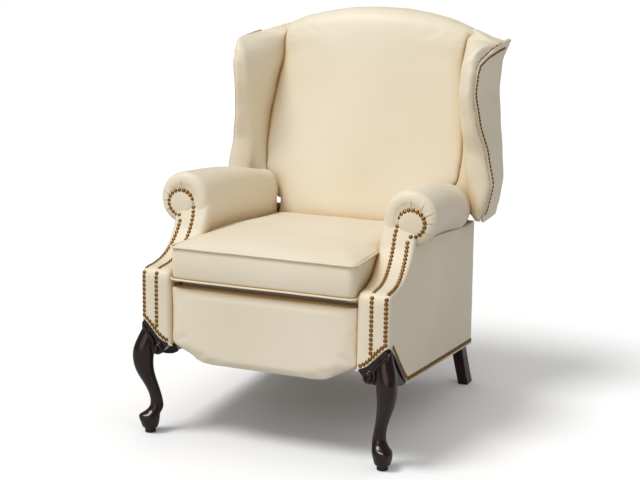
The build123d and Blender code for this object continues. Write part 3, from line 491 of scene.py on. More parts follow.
def leather():
    """Full-grain upholstery leather, drum dyed and waxed: a low even sheen over fine pores, with shade
    painted into its folds.
    """
    colours = bpy.context.scene.recliner_leather
    made, tree, shader = new_material("ivory_upholstery_leather")
    place = object_space(tree)
    # slow drift of tone across the hide, about 0.3 m wide
    drift = add_node(tree, "ShaderNodeTexNoise", [("Vector", place)], in_Scale=3.2, in_Detail=2.0)
    tones = [(0.3, colours.tone), (0.7, colours.light)]
    tone = add_node(tree, "ShaderNodeValToRGB", [("Fac", drift.outputs["Fac"])], tones)
    # painted shade: ambient occlusion mixes a tan tone into folds and recesses, standing for the shade and
    # warm reflected light there
    painted_crease_shade = add_node(tree, "ShaderNodeAmbientOcclusion", samples=4, in_Distance=0.05)
    shades = [(0.25, "#ffffff"), (0.85, "#000000")]
    depth = add_node(tree, "ShaderNodeValToRGB", [("Fac", painted_crease_shade.outputs["AO"])], shades)
    # sockets 6 and 7 are the two colours of the mix, and output 2 is the mixed colour
    mixed = [("Factor", depth.outputs["Color"]), (6, tone.outputs["Color"])]
    warm = add_node(tree, "ShaderNodeMix", mixed, data_type="RGBA", in_7=linear(colours.painted_crease_shade))
    tree.links.new(warm.outputs[2], shader.inputs["Base Color"])
    # pebble grain, drawn at 1.6 mm so that it shows at arm's length
    grain = add_node(tree, "ShaderNodeTexVoronoi", [("Vector", place)], in_Scale=620.0, feature="SMOOTH_F1")
    pores = add_node(tree, "ShaderNodeTexNoise", [("Vector", place)], in_Scale=240.0, in_Detail=4.0)
    summed = [(0, grain.outputs["Distance"]), (1, pores.outputs["Fac"])]
    both = add_node(tree, "ShaderNodeMath", summed, operation="ADD").outputs[0]
    bump = add_node(tree, "ShaderNodeBump", [("Height", both)], in_Strength=0.16, in_Distance=0.0004)
    tree.links.new(bump.outputs[0], shader.inputs["Normal"])
    pores = pores.outputs["Fac"]
    shine = add_node(tree, "ShaderNodeMapRange", [("Value", pores)], in_To_Min=0.38, in_To_Max=0.52)
    tree.links.new(shine.outputs[0], shader.inputs["Roughness"])
    set_inputs(shader, IOR=1.45, Specular_IOR_Level=0.45, Sheen_Weight=0.08, Sheen_Roughness=0.5)
    return made


def antique_brass():
    """Stamped brass nails, chemically darkened and rubbed back: brown with bright tops."""
    colours = bpy.context.scene.recliner_finish
    made, tree, shader = new_material("antique_brass_stamped")
    place = object_space(tree)
    # patina in patches about 2.4 mm wide, a few on each nail
    patch = add_node(tree, "ShaderNodeTexNoise", [("Vector", place)], in_Scale=420.0, in_Detail=3.0)
    patch = patch.outputs["Fac"]
    surface(tree, shader, patch, [(0.35, colours.brass_dark), (0.65, colours.brass)], (0.2, 0.0003))
    rough = add_node(tree, "ShaderNodeMapRange", [("Value", patch)], in_To_Min=0.26, in_To_Max=0.46)
    tree.links.new(rough.outputs[0], shader.inputs["Roughness"])
    set_inputs(shader, Metallic=1.0)
    return made


def wood(name, dark, light, roughness, coat, ring_scale):
    """Sawn or carved timber: long grain streaks along the height, sealed to a given gloss."""
    made, tree, shader = new_material(name)
    place = object_space(tree, scale=(60, 60, 7))
    grain = {"in_Scale": ring_scale, "in_Detail": 6.0, "in_Roughness": 0.6}
    streak = add_node(tree, "ShaderNodeTexNoise", [("Vector", place)], **grain)
    surface(tree, shader, streak.outputs["Fac"], [(0.3, dark), (0.7, light)], (0.06, 0.0005))
    set_inputs(shader, Roughness=roughness, Coat_Weight=coat, Coat_Roughness=0.05)
    set_inputs(shader, IOR=1.45, Specular_IOR_Level=0.3)
    return made


def mahogany():
    """Carved mahogany, stained near black and lacquered: sharp reflections over faint red grain."""
    colours = bpy.context.scene.recliner_finish
    return wood("mahogany_lacquered", colours.wood_dark, colours.wood, 0.3, 0.5, 1.2)


def hardwood():
    """Sawn birch of the inner frame: pale, dry and unfinished."""
    return wood("birch_sawn", "#9c7a50", "#c8a678", 0.7, 0.0, 2.0)


def enamelled_steel():
    """Pressed steel links in black baked enamel: smooth with a faint orange peel."""
    made, tree, shader = new_material("steel_black_enamel")
    peel = add_node(tree, "ShaderNodeTexNoise", [("Vector", object_space(tree))], in_Scale=500.0)
    surface(tree, shader, peel.outputs["Fac"], [(0.3, "#17171a"), (0.7, "#222226")], (0.1, 0.0002))
    set_inputs(shader, Roughness=0.35, Coat_Weight=0.3)
    return made


def spring_wire():
    """Oil-tempered spring wire: grey-brown bare steel with a drawn surface."""
    made, tree, shader = new_material("spring_wire_tempered")
    place = object_space(tree)
    drawn = add_node(tree, "ShaderNodeTexNoise", [("Vector", place)], in_Scale=300.0, in_Detail=4.0)
    surface(tree, shader, drawn.outputs["Fac"], [(0.3, "#4b4844"), (0.7, "#77736d")])
    set_inputs(shader, Metallic=1.0, Roughness=0.4)
    return made


def glide_plastic():
    """Moulded nylon glide: dark brown, matt, with a fine mould texture."""
    made, tree, shader = new_material("nylon_moulded_brown")
    grain = add_node(tree, "ShaderNodeTexNoise", [("Vector", object_space(tree))], in_Scale=900.0)
    surface(tree, shader, grain.outputs["Fac"], [(0.3, "#171210"), (0.7, "#241c18")], (0.2, 0.0002))
    set_inputs(shader, Roughness=0.5)
    return made


def deck_cloth():
    """Plain-woven cotton platform cloth: matt, beige, threads drawn 2 mm apart."""
    made, tree, shader = new_material("cotton_platform_cloth")
    threads = []
    for k, turn in enumerate((0, math.pi / 2)):
        place = object_space(tree, rotation=(0, 0, turn))
        wave = add_node(tree, "ShaderNodeTexWave", [("Vector", place)], in_Scale=157.0, in_Distortion=0.4)
        threads.append((k, wave.outputs["Fac"]))
    weave = add_node(tree, "ShaderNodeMath", threads, operation="MULTIPLY")
    surface(tree, shader, weave.outputs[0], [(0.0, "#8d7f68"), (0.8, "#b3a58b")], (0.4, 0.0006))
    set_inputs(shader, Roughness=0.85, Sheen_Weight=0.2)
    return made


FINISHES = {
    "leather": leather,
    "antique_brass": antique_brass,
    "leg_wood": mahogany,
    "frame_wood": hardwood,
    "linkage_steel": enamelled_steel,
    "spring_steel": spring_wire,
    "glide_plastic": glide_plastic,
    "deck_cloth": deck_cloth,
}
made_materials = {}


def material(slot):
    """The material of a slot, made once."""
    if slot not in made_materials:
        made_materials[slot] = FINISHES[slot]()
    return made_materials[slot]


# ---------------------------------------------------------------- settings a user would change


class RECLINER_PG_sizes(bpy.types.PropertyGroup):
    """Sizes of the upholstery."""

    crown: bpy.props.FloatProperty(
        name="Cushion crown", description="Rise of the cushion above its seam", default=0.024, unit="LENGTH"
    )
    nail: bpy.props.FloatProperty(
        name="Nail radius", description="Radius of a nailhead", default=0.0057, unit="LENGTH"
    )
    pitch: bpy.props.FloatProperty(
        name="Nail pitch", description="Distance between nailheads", default=0.0114, unit="LENGTH"
    )
    pressure: bpy.props.FloatProperty(
        name="Filling pressure", description="Pressure of the cushion's filling", default=4.0
    )


class RECLINER_PG_leather(bpy.types.PropertyGroup):
    """Colours of the leather and of the shade painted into its folds, as sRGB hex values."""

    light: bpy.props.StringProperty(name="Light", description="Lightest tone of the hide", default="#eadfc9")
    tone: bpy.props.StringProperty(name="Tone", description="Deeper tone of the hide", default="#e3d6bc")
    # the crease colour is painted shade: the tan mixed into folds and recesses where shade falls
    painted_crease_shade: bpy.props.StringProperty(name="Crease", description="Tone in folds", default="#c7a46c")


class RECLINER_PG_finish(bpy.types.PropertyGroup):
    """Colours of the metal and wood, as sRGB hex values."""

    brass: bpy.props.StringProperty(name="Brass", description="Rubbed tops of the nails", default="#b98d4c")
    brass_dark: bpy.props.StringProperty(
        name="Dark brass", description="Patina of the nails", default="#6b4a20"
    )
    wood: bpy.props.StringProperty(name="Wood", description="Stained wood", default="#2c1310")
    wood_dark: bpy.props.StringProperty(name="Dark wood", description="Grain of the wood", default="#160807")


class RECLINER_PG_stage(bpy.types.PropertyGroup):
    """Light of the stage."""

    key: bpy.props.FloatProperty(name="Key light", description="Strength of the key sun", default=1.7)
    sky: bpy.props.FloatProperty(name="Sky", description="Strength of the even light", default=0.55)


# ---------------------------------------------------------------- seat cushion


def on_corner(corner, turn):
    """Point on a rounded corner (x, y, radius, first angle), a turn in degrees along it."""
    x, y, r, start = corner
    angle = math.radians(start + turn)
    cx = x + r if x < 0 else x - r
    cy = y + r if y < 0 else y - r
    return (cx + r * math.cos(angle), cy + r * math.sin(angle))


def cushion_plan(z, inset=0.0):
    """Points round the cushion's plan at height z."""
    per_corner, per_side = 7, 12
    half_front, front, front_r = CUSHION_FRONT
    half_rear, rear_r = CUSHION_REAR
    rear = face_y(z) - 7.2
    corners = [
        (-half_front + inset, front + inset, front_r, 180),
        (half_front - inset, front + inset, front_r, 270),
        (half_rear - inset, rear - inset, rear_r, 0),
        (-half_rear + inset, rear - inset, rear_r, 90),
    ]
    points = []
    for k, corner in enumerate(corners):
        arc = [on_corner(corner, 90 * i / per_corner) for i in range(per_corner + 1)]
        points += arc
        target = on_corner(corners[(k + 1) % 4], 0)
        for i in range(1, per_side):
            t = i / per_side
            swell = 4 * math.sin(math.pi * t) * (1 if k in (1, 3) else 0)
            x = between(arc[-1][0], target[0], t)
            points.append((x + math.copysign(swell, x), between(arc[-1][1], target[1], t)))
    return [Vector((x, y, z)) for x, y in points]


def seat_fall(y, z):
    """Height of a cushion point once the seat has settled towards the back."""
    t = clamped((y + 120) / 310)
    return z - 14 * t * t * (3 - 2 * t) * max(0.0, z - SEAM_LOW_Z) / (SEAM_TOP_Z - SEAM_LOW_Z)


class RECLINER_OT_seat_cushion(bpy.types.Operator):
    """Loose box cushion of the seat with its two welts"""

    bl_idname = "recliner.seat_cushion"
    bl_label = "Seat cushion"

    def execute(self, context):
        sizes = context.scene.recliner_sizes
        crown = sizes.crown / MM
        top, low = cushion_plan(SEAM_TOP_Z), cushion_plan(SEAM_LOW_Z)
        middle = Vector((0, -110, 0))

        def towards_middle(ring, share, rise):
            """Ring drawn in to a share of its size round the cushion's middle, and raised."""
            return [middle + (p - middle) * share + Vector((0, 0, p.z + rise - p.z * share)) for p in ring]

        rings = []
        for share in (0.12, 0.3, 0.5, 0.66, 0.8, 0.9, 0.96):
            rings.append(towards_middle(low, share, -12.5 * (1 - share**9) ** 0.6))
        rings.append(low)
        for t in (0.2, 0.4, 0.6, 0.8):
            bulge = 1 + 0.011 * math.sin(math.pi * t)
            rings.append([
                Vector((between(a.x, b.x, t), between(a.y, b.y, t) * bulge, between(a.z, b.z, t)))
                for a, b in zip(low, top)
            ])  # fmt: skip
        rings.append(top)
        for share in (0.97, 0.93, 0.86, 0.76, 0.62, 0.45, 0.25, 0.1):
            rings.append(towards_middle(top, share, crown * (1 - share**3.4) ** 0.62))
        cushion = skin("seat_cushion_leather", rings)
        remesh(cushion, 7, 3)

        def hold(spot):
            seam = min(abs(spot.z - SEAM_TOP_Z), abs(spot.z - SEAM_LOW_Z))
            edge = max(abs(spot.x) / 242, abs(spot.y + 107) / 311)
            if spot.z < SEAM_LOW_Z - 2:
                return 1.0
            return 1.0 if seam < 4 and edge > 0.93 else 0.0

        fill_with_foam(cushion, sizes.pressure, 24, hold, frames=16)

        def inside_arms(spot, normal):
            limit = value_at([(-396, 252), (-330, 246), (-219, 244.5), (200, 235)], spot.y)
            x = clamped(spot.x, -limit, limit)
            ripple = noise.noise(Vector((spot.x, spot.y, 3)) * 0.012) * 1.6
            lift = ripple if spot.z > SEAM_TOP_Z + 4 else 0
            return (x, min(spot.y, face_y(spot.z) - 3), max(seat_fall(spot.y, spot.z) + lift, DECK_Z))

        moved_points(cushion, inside_arms)
        smooth(modifier(cushion, "SUBSURF", levels=1, render_levels=1))
        finish_piece(cushion, "leather", "seat", ["seat_cushion"])

        cords = []
        for z in (SEAM_TOP_Z, SEAM_LOW_Z):
            line = []
            for p in cushion_plan(z, -2.9):
                limit = value_at([(-396, 253.5), (-330, 249), (-219, 246.5), (200, 235.5)], p.y)
                wave = 1.2 * noise.noise(p * 0.015)
                line.append(Vector((clamped(p.x, -limit, limit), p.y, seat_fall(p.y, p.z) + wave)))
            cords.append(round_cord("cushion_cord", line, PIPING_R, closed=True, smooth_line=False))
        welts = joined("seat_cushion_piping", cords)
        finish_piece(welts, "leather", "seat", ["cushion_welts"])
        return {"FINISHED"}


# ---------------------------------------------------------------- padded back


class RECLINER_OT_inside_back(bpy.types.Operator):
    """Padded back between the wings, rolling over the arched top"""

    bl_idname = "recliner.inside_back"
    bl_label = "Inside back"

    def execute(self, context):
        crests = [between(BACK_EDGE_X, 374, i / 7) for i in range(1, 8)]
        for i in range(37):
            u = -1 + i / 18
            crests.append(BACK_EDGE_X * math.copysign(1 - (1 - abs(u)) ** 1.35, u) if u else 0.0)
        crests += [-x for x in crests[:7]]
        rings = []
        for across in sorted(crests):
            u = clamped(across / BACK_EDGE_X, -1.0)
            top = arch_z(across)
            ease = (1 - abs(u) ** 9) ** 0.5 if abs(u) < 1 else 0.0
            recede = 2 + 14 * u * u + 16 * (1 - ease) + max(0.0, abs(across) - BACK_EDGE_X) * 0.2
            low_edge = 0.35 * recede + 1
            front_top = (face_y(top - BACK_ROLL) + recede, top - BACK_ROLL)
            crest = (BACK_REAR[1] - 30, top)
            ring = []

            def add(y, z, out=0.0):
                """Adds a point, a share out of the way from between the wings to the crest's own x."""
                ring.append((between(u * value_at(BACK_HALF, z), across, out), y, z))

            for i in range(26):
                z = between(BACK_LOW_Z, top - BACK_ROLL, i / 26)
                add(face_y(z) + value_at([(540, low_edge), (640, recede)], z), z)
            for i in range(15):
                a = math.pi / 2 * i / 14
                y = between(front_top[0], crest[0], 1 - math.cos(a) ** 0.94)
                add(y, between(front_top[1], crest[1], math.sin(a) ** 0.94), max(0.0, (i - 10) / 4))
            add(BACK_REAR[1] - 10, top - 2, 1)
            add(BACK_REAR[1] - 5, top - 10, 1)
            add(BACK_REAR[1] - 7, top - 34, 0.8)
            for i in range(12):
                z = between(top - 60, BACK_LOW_Z, i / 11)
                add(max(face_y(z) + 38, face_y(z) + recede + 5), z)
            rings.append(ring)
        back = skin("inside_back_leather", rings)
        remesh(back, 8, 3)

        def hold(spot):
            if spot.y > face_y(spot.z) + 30 or spot.z > arch_z(spot.x) - 30:
                return 1.0
            half = value_at(BACK_HALF, spot.z)
            return 1.0 if abs(spot.x) > half - 8 or spot.z < 395 else 0.0

        fill_with_foam(back, 3.0, 22, hold, frames=14)

        def pulls(spot, normal):
            spot = spot + normal * 1.4 * noise.noise(spot * 0.009)
            if spot.z < ARM_TOP_Z:
                spot.x = clamped(spot.x, -BACK_LOW_HALF, BACK_LOW_HALF)
            return spot

        moved_points(back, pulls)
        smooth(modifier(back, "SUBSURF", levels=1, render_levels=1))
        finish_piece(back, "leather", "back", ["back_cushion"])
        return {"FINISHED"}


# ---------------------------------------------------------------- wings


def wing_heights():
    """Heights of the wing's sections, closer together at its top and its tip."""
    low = [511, 514, 518, 524, 529.5, 530.5, 536, 542]
    body = [550 + 14 * i for i in range(29)]
    tip = [950, 958, 966, 974, 981, 987, 992, 996, 999, 1002, 1004, 1006, 1008, WING_TOP_Z]
    shoulder = [1013, 1018, 1024, 1030, 1035, 1038]
    return [*low, *body, *tip, *shoulder]


def wing_edge_y(z):
    """Front edge of the wing at height z, seen from the side."""
    return value_at(WING_EDGE, z)


def wing_line(inset, lift=0.0):
    """Points along the wing's front edge, set in from it, on its outer face."""
    body = (530, 545, 560, 590, 619, 660, 702, 745, 788, 830, 871, 905, 932)
    tip = (950, 963, 976, 986, 994, 1000, 1004)
    edge = curve_through([(wing_edge_y(z), z, 0) for z in body + tip] + [(428, WING_TOP_Z, 0)], 3)
    line = []
    for i, spot in enumerate(edge):
        way = (edge[min(i + 1, len(edge) - 1)] - edge[max(i - 1, 0)]).normalized()
        y, z = spot.x + way.y * inset, spot.y - way.x * inset
        line.append((wing_outer_x(y, z) + lift, y, z))
    return line[: -2 if inset > 8 else None]


class RECLINER_OT_wings(bpy.types.Operator):
    """Padded wings, their flat outer panels and the welts between them"""

    bl_idname = "recliner.wings"
    bl_label = "Wings"

    def execute(self, context):
        rings, outer_rows = [], []
        for z in wing_heights():
            _, _, x_in, _ = wing_row(z)
            front = wing_edge_y(z)
            x_out = wing_outer_x(front, z)
            half = value_at(BACK_HALF, z)
            x_in = max(x_in, 356) if z < WING_FOOT_Z else x_in
            ridge = value_at(WING_RIDGE, z)
            # how far back the arm lets it reach, along a line that rises at 30 degrees
            limit = 224 + (z - 528) / 0.577 if z < WING_CLEAR_Z else 600
            if z > WING_TOP_Z:  # soft shoulder up to the arched top
                t = (z - WING_TOP_Z) / 29
                front = ridge = between(322, 404, t**0.8)
                x_out = between(364, 292, t)
            rear = rear_y(z) - 9
            half = half + 1 if z >= WING_FOOT_Z else 354.6
            x_in = min(x_in, x_out - 14)
            half = min(half, x_in - 4)
            valley_y = min(max(face_y(z) + 30, ridge + 26), max(limit, ridge + 12), rear)
            corner = min(20.0, (x_out - x_in) * 0.46)
            ring = [(x_out + 1.2, min(front + 7, rear), z), (x_out + 0.4, min(front + 2, rear), z)]
            for i in range(8):  # band across the front, from the welt inwards
                t = i / 7
                x = between(x_out - 2.5, x_in + corner, t)
                puff = 6.5 * math.sin(math.pi * t**0.75) ** 0.7
                ring.append((x, between(front - 1.5, ridge, t) - puff, z))
            for i in range(1, 7):  # soft inner corner
                a = math.pi / 2 * i / 6
                ring.append((x_in + corner - corner * math.sin(a), ridge + corner * (1 - math.cos(a)), z))
            for i in range(1, 12):  # inner face back to the valley
                t = i / 11
                side = between(x_in, half - 3, t) - 2 * math.sin(math.pi * t)
                ring.append((side, between(ridge + corner, valley_y, t), z))
            behind = max(valley_y + 1, min(limit, between(valley_y, rear, 0.3)))
            rear_x = half - 4 if z > WING_CLEAR_Z else 355
            ring += [(half - 4, behind, z), (rear_x, min(behind + 1, rear), z), (rear_x, rear, z)]
            for t in (0.0, 0.35, 0.7):  # outer side, under the flat panel
                y = between(rear, min(front + 12, rear - 4), t)
                ring.append((min(wing_outer_x(y, z) - 7, x_out if z > WING_TOP_Z else 600), y, z))
            ring.append((x_out - 7, min(front + 8, rear), z))
            rings.append(ring)
            if z > WING_TOP_Z:
                continue
            row = []
            for i in range(22):
                y = between(min(front + 9, rear_y(z) - 8), rear_y(z) - 0.5, (i / 21) ** 1.2)
                puff = 2.2 * math.sin(math.pi * min(1, i / 21)) ** 0.6
                row.append((wing_outer_x(y, z) + puff - 1.5, y, z))
            outer_rows.append(row)
        pad = skin("wing_pad_leather_left", rings)
        remesh(pad, 5.5, 9)

        def hold(spot):
            edge = wing_outer_x(spot.y, spot.z) - spot.x
            if edge < 14 or spot.y > 395 or spot.z < 560:
                return 1.0
            return 1.0 if abs(spot.x) < value_at(BACK_HALF, spot.z) + 2 else 0.0

        fill_with_foam(pad, 2.5, 8, hold, frames=12)
        moved_points(pad, lambda spot, normal: spot + normal * 0.9 * noise.noise(spot * 0.014))
        smooth(modifier(pad, "SUBSURF", levels=1, render_levels=1))
        finish_both(pad, "leather", "back", "wing_pad")

        panel = cloth_sheet("wing_outer_left", outer_rows, -6.5)
        smooth(outward(panel), 40)
        finish_both(panel, "leather", "back", "wing_panel")

        cord = round_cord("wing_cord", wing_line(8.5, -1.2), 2.3, steps=4)
        cords = joined("wing_piping", [cord, mirrored(cord, "wing_cord_right")])
        finish_piece(cords, "leather", "back", ["wing_welts"])
        return {"FINISHED"}


# ---------------------------------------------------------------- flat padded panels


def padded_board(name, outline, thick, place, voxel=5.0, rounds=4):
    """Soft flat panel: an outline in (u, v), a thickness w behind it, bent to its place by place(u, v, w)."""
    count = len(outline)
    points = [(u, 0, v) for u, v in outline] + [(u, thick, v) for u, v in outline]
    faces = [tuple(range(count)), tuple(range(2 * count - 1, count - 1, -1))]
    faces += [(i, (i + 1) % count, (i + 1) % count + count, i + count) for i in range(count)]
    obj = outward(piece_from(name, points, faces))
    remesh(obj, voxel, rounds)
    return moved_points(obj, lambda spot, normal: place(spot.x, spot.z, spot.y))


def s_line():
    """Front line of the arm from under the scroll round to the post's face, as (y, z) points."""
    line = curve_through([(y, z, 0) for y, z in ARM_LINE])
    corner = [(-400, 438.5), (-405.5, 433), (FRONT_Y, 425)]
    return [(p.x, p.y) for p in line] + corner


class RECLINER_OT_side_panels(bpy.types.Operator):
    """Leather over the outer sides and the rear corners of the base"""

    bl_idname = "recliner.side_panels"
    bl_label = "Side panels"

    def execute(self, context):
        front = [(y + 1.0, z) for y, z in s_line()]
        notch = [(p.x, p.y) for p in curve_through([(y, z, 0) for y, z in SIDE_NOTCH], 8)]
        notch[0] = (FRONT_Y + 1, 315)
        rear = [(REAR_Y, PANEL_REAR_Z), (353, 494), (200, 500), (0, 520), (-200, 538)]
        outline = [(-222, 548), *front, *notch, *rear]

        def place(y, z, depth):
            along = clamped((y - FRONT_Y) / (REAR_Y - FRONT_Y))
            puff = 2.0 * max(0.0, math.sin(math.pi * along)) ** 0.5
            return (side_x(y) + puff * (1 if depth < 3 else 0) - 1.2 - depth, y, z)

        panel = padded_board("side_panel_left", outline, 16, place)
        outward(panel)
        smooth(panel)
        finish_both(panel, "leather", "base", "outside_arm")

        corner = [(238, 229), (310, 229), (310, 495), (238, 495)]
        rear_corner = padded_board("rear_corner_left", corner, 6, lambda x, z, d: (x, 353 - d, z), voxel=3)
        both = joined("rear_corners", [rear_corner, mirrored(rear_corner, "rear_corner_right")])
        smooth(outward(both))
        finish_piece(both, "leather", "base", ["rear_facings"])
        return {"FINISHED"}


class RECLINER_OT_outside_back(bpy.types.Operator):
    """Leather over the chair's rear, down to the skirt between the rear posts"""

    bl_idname = "recliner.outside_back"
    bl_label = "Outside back"

    def execute(self, context):
        right = [(p.x, p.y) for p in curve_through([(x, z - 2, 0) for x, z in ARCH[:-1]], 5)] + [(384, 1003)]
        right += [(wing_row(z)[3] - 1, z) for z in (960, 900, 871, 820, 788, 740, 702)]
        above_arms = len(right)
        right += [(wing_row(z)[3] - 1, z) for z in (660, 619, 590, 560, 535)]
        right += [(362, 518), (350, 513), (300, 512), (240, 511), (231, 504), (230, 310), (222, 301)]
        outline = right + [(-x, z) for x, z in reversed(right) if x > 0]

        def place(x, z, depth):
            puff = 3.0 * max(0.0, 1 - (x / 380) ** 2) * max(0.0, math.sin(math.pi * (z - 300) / 790)) ** 0.5
            return (x, rear_y(z) - 1.5 + (puff if depth < 3 else 0) - depth, z)

        sheet = padded_board("outside_back_leather", outline, 8.5, place, voxel=4.5, rounds=3)
        smooth(outward(sheet))
        finish_piece(sheet, "leather", "back", ["outside_back"])
        edge = [(x, rear_y(z) - 1, z) for x, z in right[:above_arms]]
        line = [(-x, y, z) for x, y, z in reversed(edge[1:])] + edge
        cord = round_cord("rear_edge_piping", line, 2.2, smooth_line=False)
        finish_piece(cord, "leather", "back")
        return {"FINISHED"}


class RECLINER_OT_footrest(bpy.types.Operator):
    """Padded footrest panel and the cloth nosing of the seat's deck over it"""

    bl_idname = "recliner.footrest"
    bl_label = "Footrest"

    def execute(self, context):
        lower = [(255, 300, 0), (255, 264, 0), (245, 249, 0), (203, 227, 0), (160, 207.5, 0), (80, 205, 0)]
        right = [(254.5, 402), *[(p.x, p.y) for p in curve_through(lower, 6)], (0, 205)]
        outline = right + [(-x, z) for x, z in reversed(right) if x > 0]
        pad = padded_board(
            "footrest_leather", outline, 30, lambda x, z, d: (x, -403 + d, z), voxel=6, rounds=6
        )
        outward(pad)
        fill_with_foam(pad, 3.0, 8, lambda spot: 1.0 if spot.y > -380 else 0.0, frames=12)

        def within(spot, normal):
            return (spot.x * 1.006, max(-411, spot.y), 300 + (spot.z - 300) * 1.012)

        moved_points(pad, within)
        smooth(modifier(pad, "SUBSURF", levels=1, render_levels=1))
        finish_piece(pad, "leather", "footrest", ["footrest_pad"])

        outline = [(-243, 399), (243, 399), (243, 411), (-243, 411)]
        nosing = padded_board(
            "seat_nosing", outline, 30, lambda x, z, d: (x, -369 + d, z - 1), voxel=3, rounds=3
        )
        smooth(outward(nosing))
        finish_piece(nosing, "deck_cloth", "seat", ["deck_nosing"])
        return {"FINISHED"}


# ---------------------------------------------------------------- arms

PLEATS = (2, 28, 58, 95, -32)  # degrees round the scroll where the leather is pleated


def pleat_depth(x, z):
    """Depth at a point of the arm's front of the pleats that run out from the nail ring."""
    dx, dz = x - SCROLL[0], z - SCROLL[1]
    far = math.hypot(dx, dz)
    if far < SCROLL[2]:
        return 0.0
    fade = math.exp(-(((far - 46) / 13) ** 2))
    angle = math.degrees(math.atan2(dz, dx))
    depth = 0.0
    for at in PLEATS:
        off = (angle - at + 180) % 360 - 180
        depth += math.exp(-((math.radians(off) * far / 1.7) ** 2))
        depth -= 0.45 * math.exp(-((math.radians(off - 4) * far / 3.0) ** 2))
    return 2.4 * fade * depth


def arm_ring(y, shrink, front_y):
    """Closed section of the arm's padding: a roll with a skirt down its inner side."""
    x, z, r = roll_at(y)
    r -= shrink
    inner = between(*ROLL_INNER, along_roll(y)) + shrink
    inner = min(inner, x - 6)
    skirt = between(498, 466, along_roll(y)) + shrink * 0.5
    ring = []
    for i in range(ROLL_STEPS + 1):
        a = between(math.pi, math.radians(-72), i / ROLL_STEPS)
        if a > math.pi / 2:  # flatter on the inner side
            full = between(1.0, 0.8, clamped((y - ROLL_FRONT_Y) / 200))
            across = (x - inner) * abs(math.cos(a)) ** full
            ring.append((x - across, front_y, z + r * abs(math.sin(a)) ** full))
        else:
            ring.append((x + r * math.cos(a), front_y, z + r * math.sin(a)))
    last_x, _, last_z = ring[-1]
    back_x, back_z = inner + 26, last_z + 2
    ring += [(between(last_x, back_x, i / 8), front_y, between(last_z, back_z, i / 8)) for i in range(1, 9)]
    ring += [(back_x, front_y, between(back_z, skirt, i / 4)) for i in range(1, 5)]
    ring += [(between(back_x, inner, i / 4), front_y, skirt) for i in range(1, 5)]
    ring += [(inner, front_y, between(skirt, z, i / 14)) for i in range(1, 14)]
    return ring


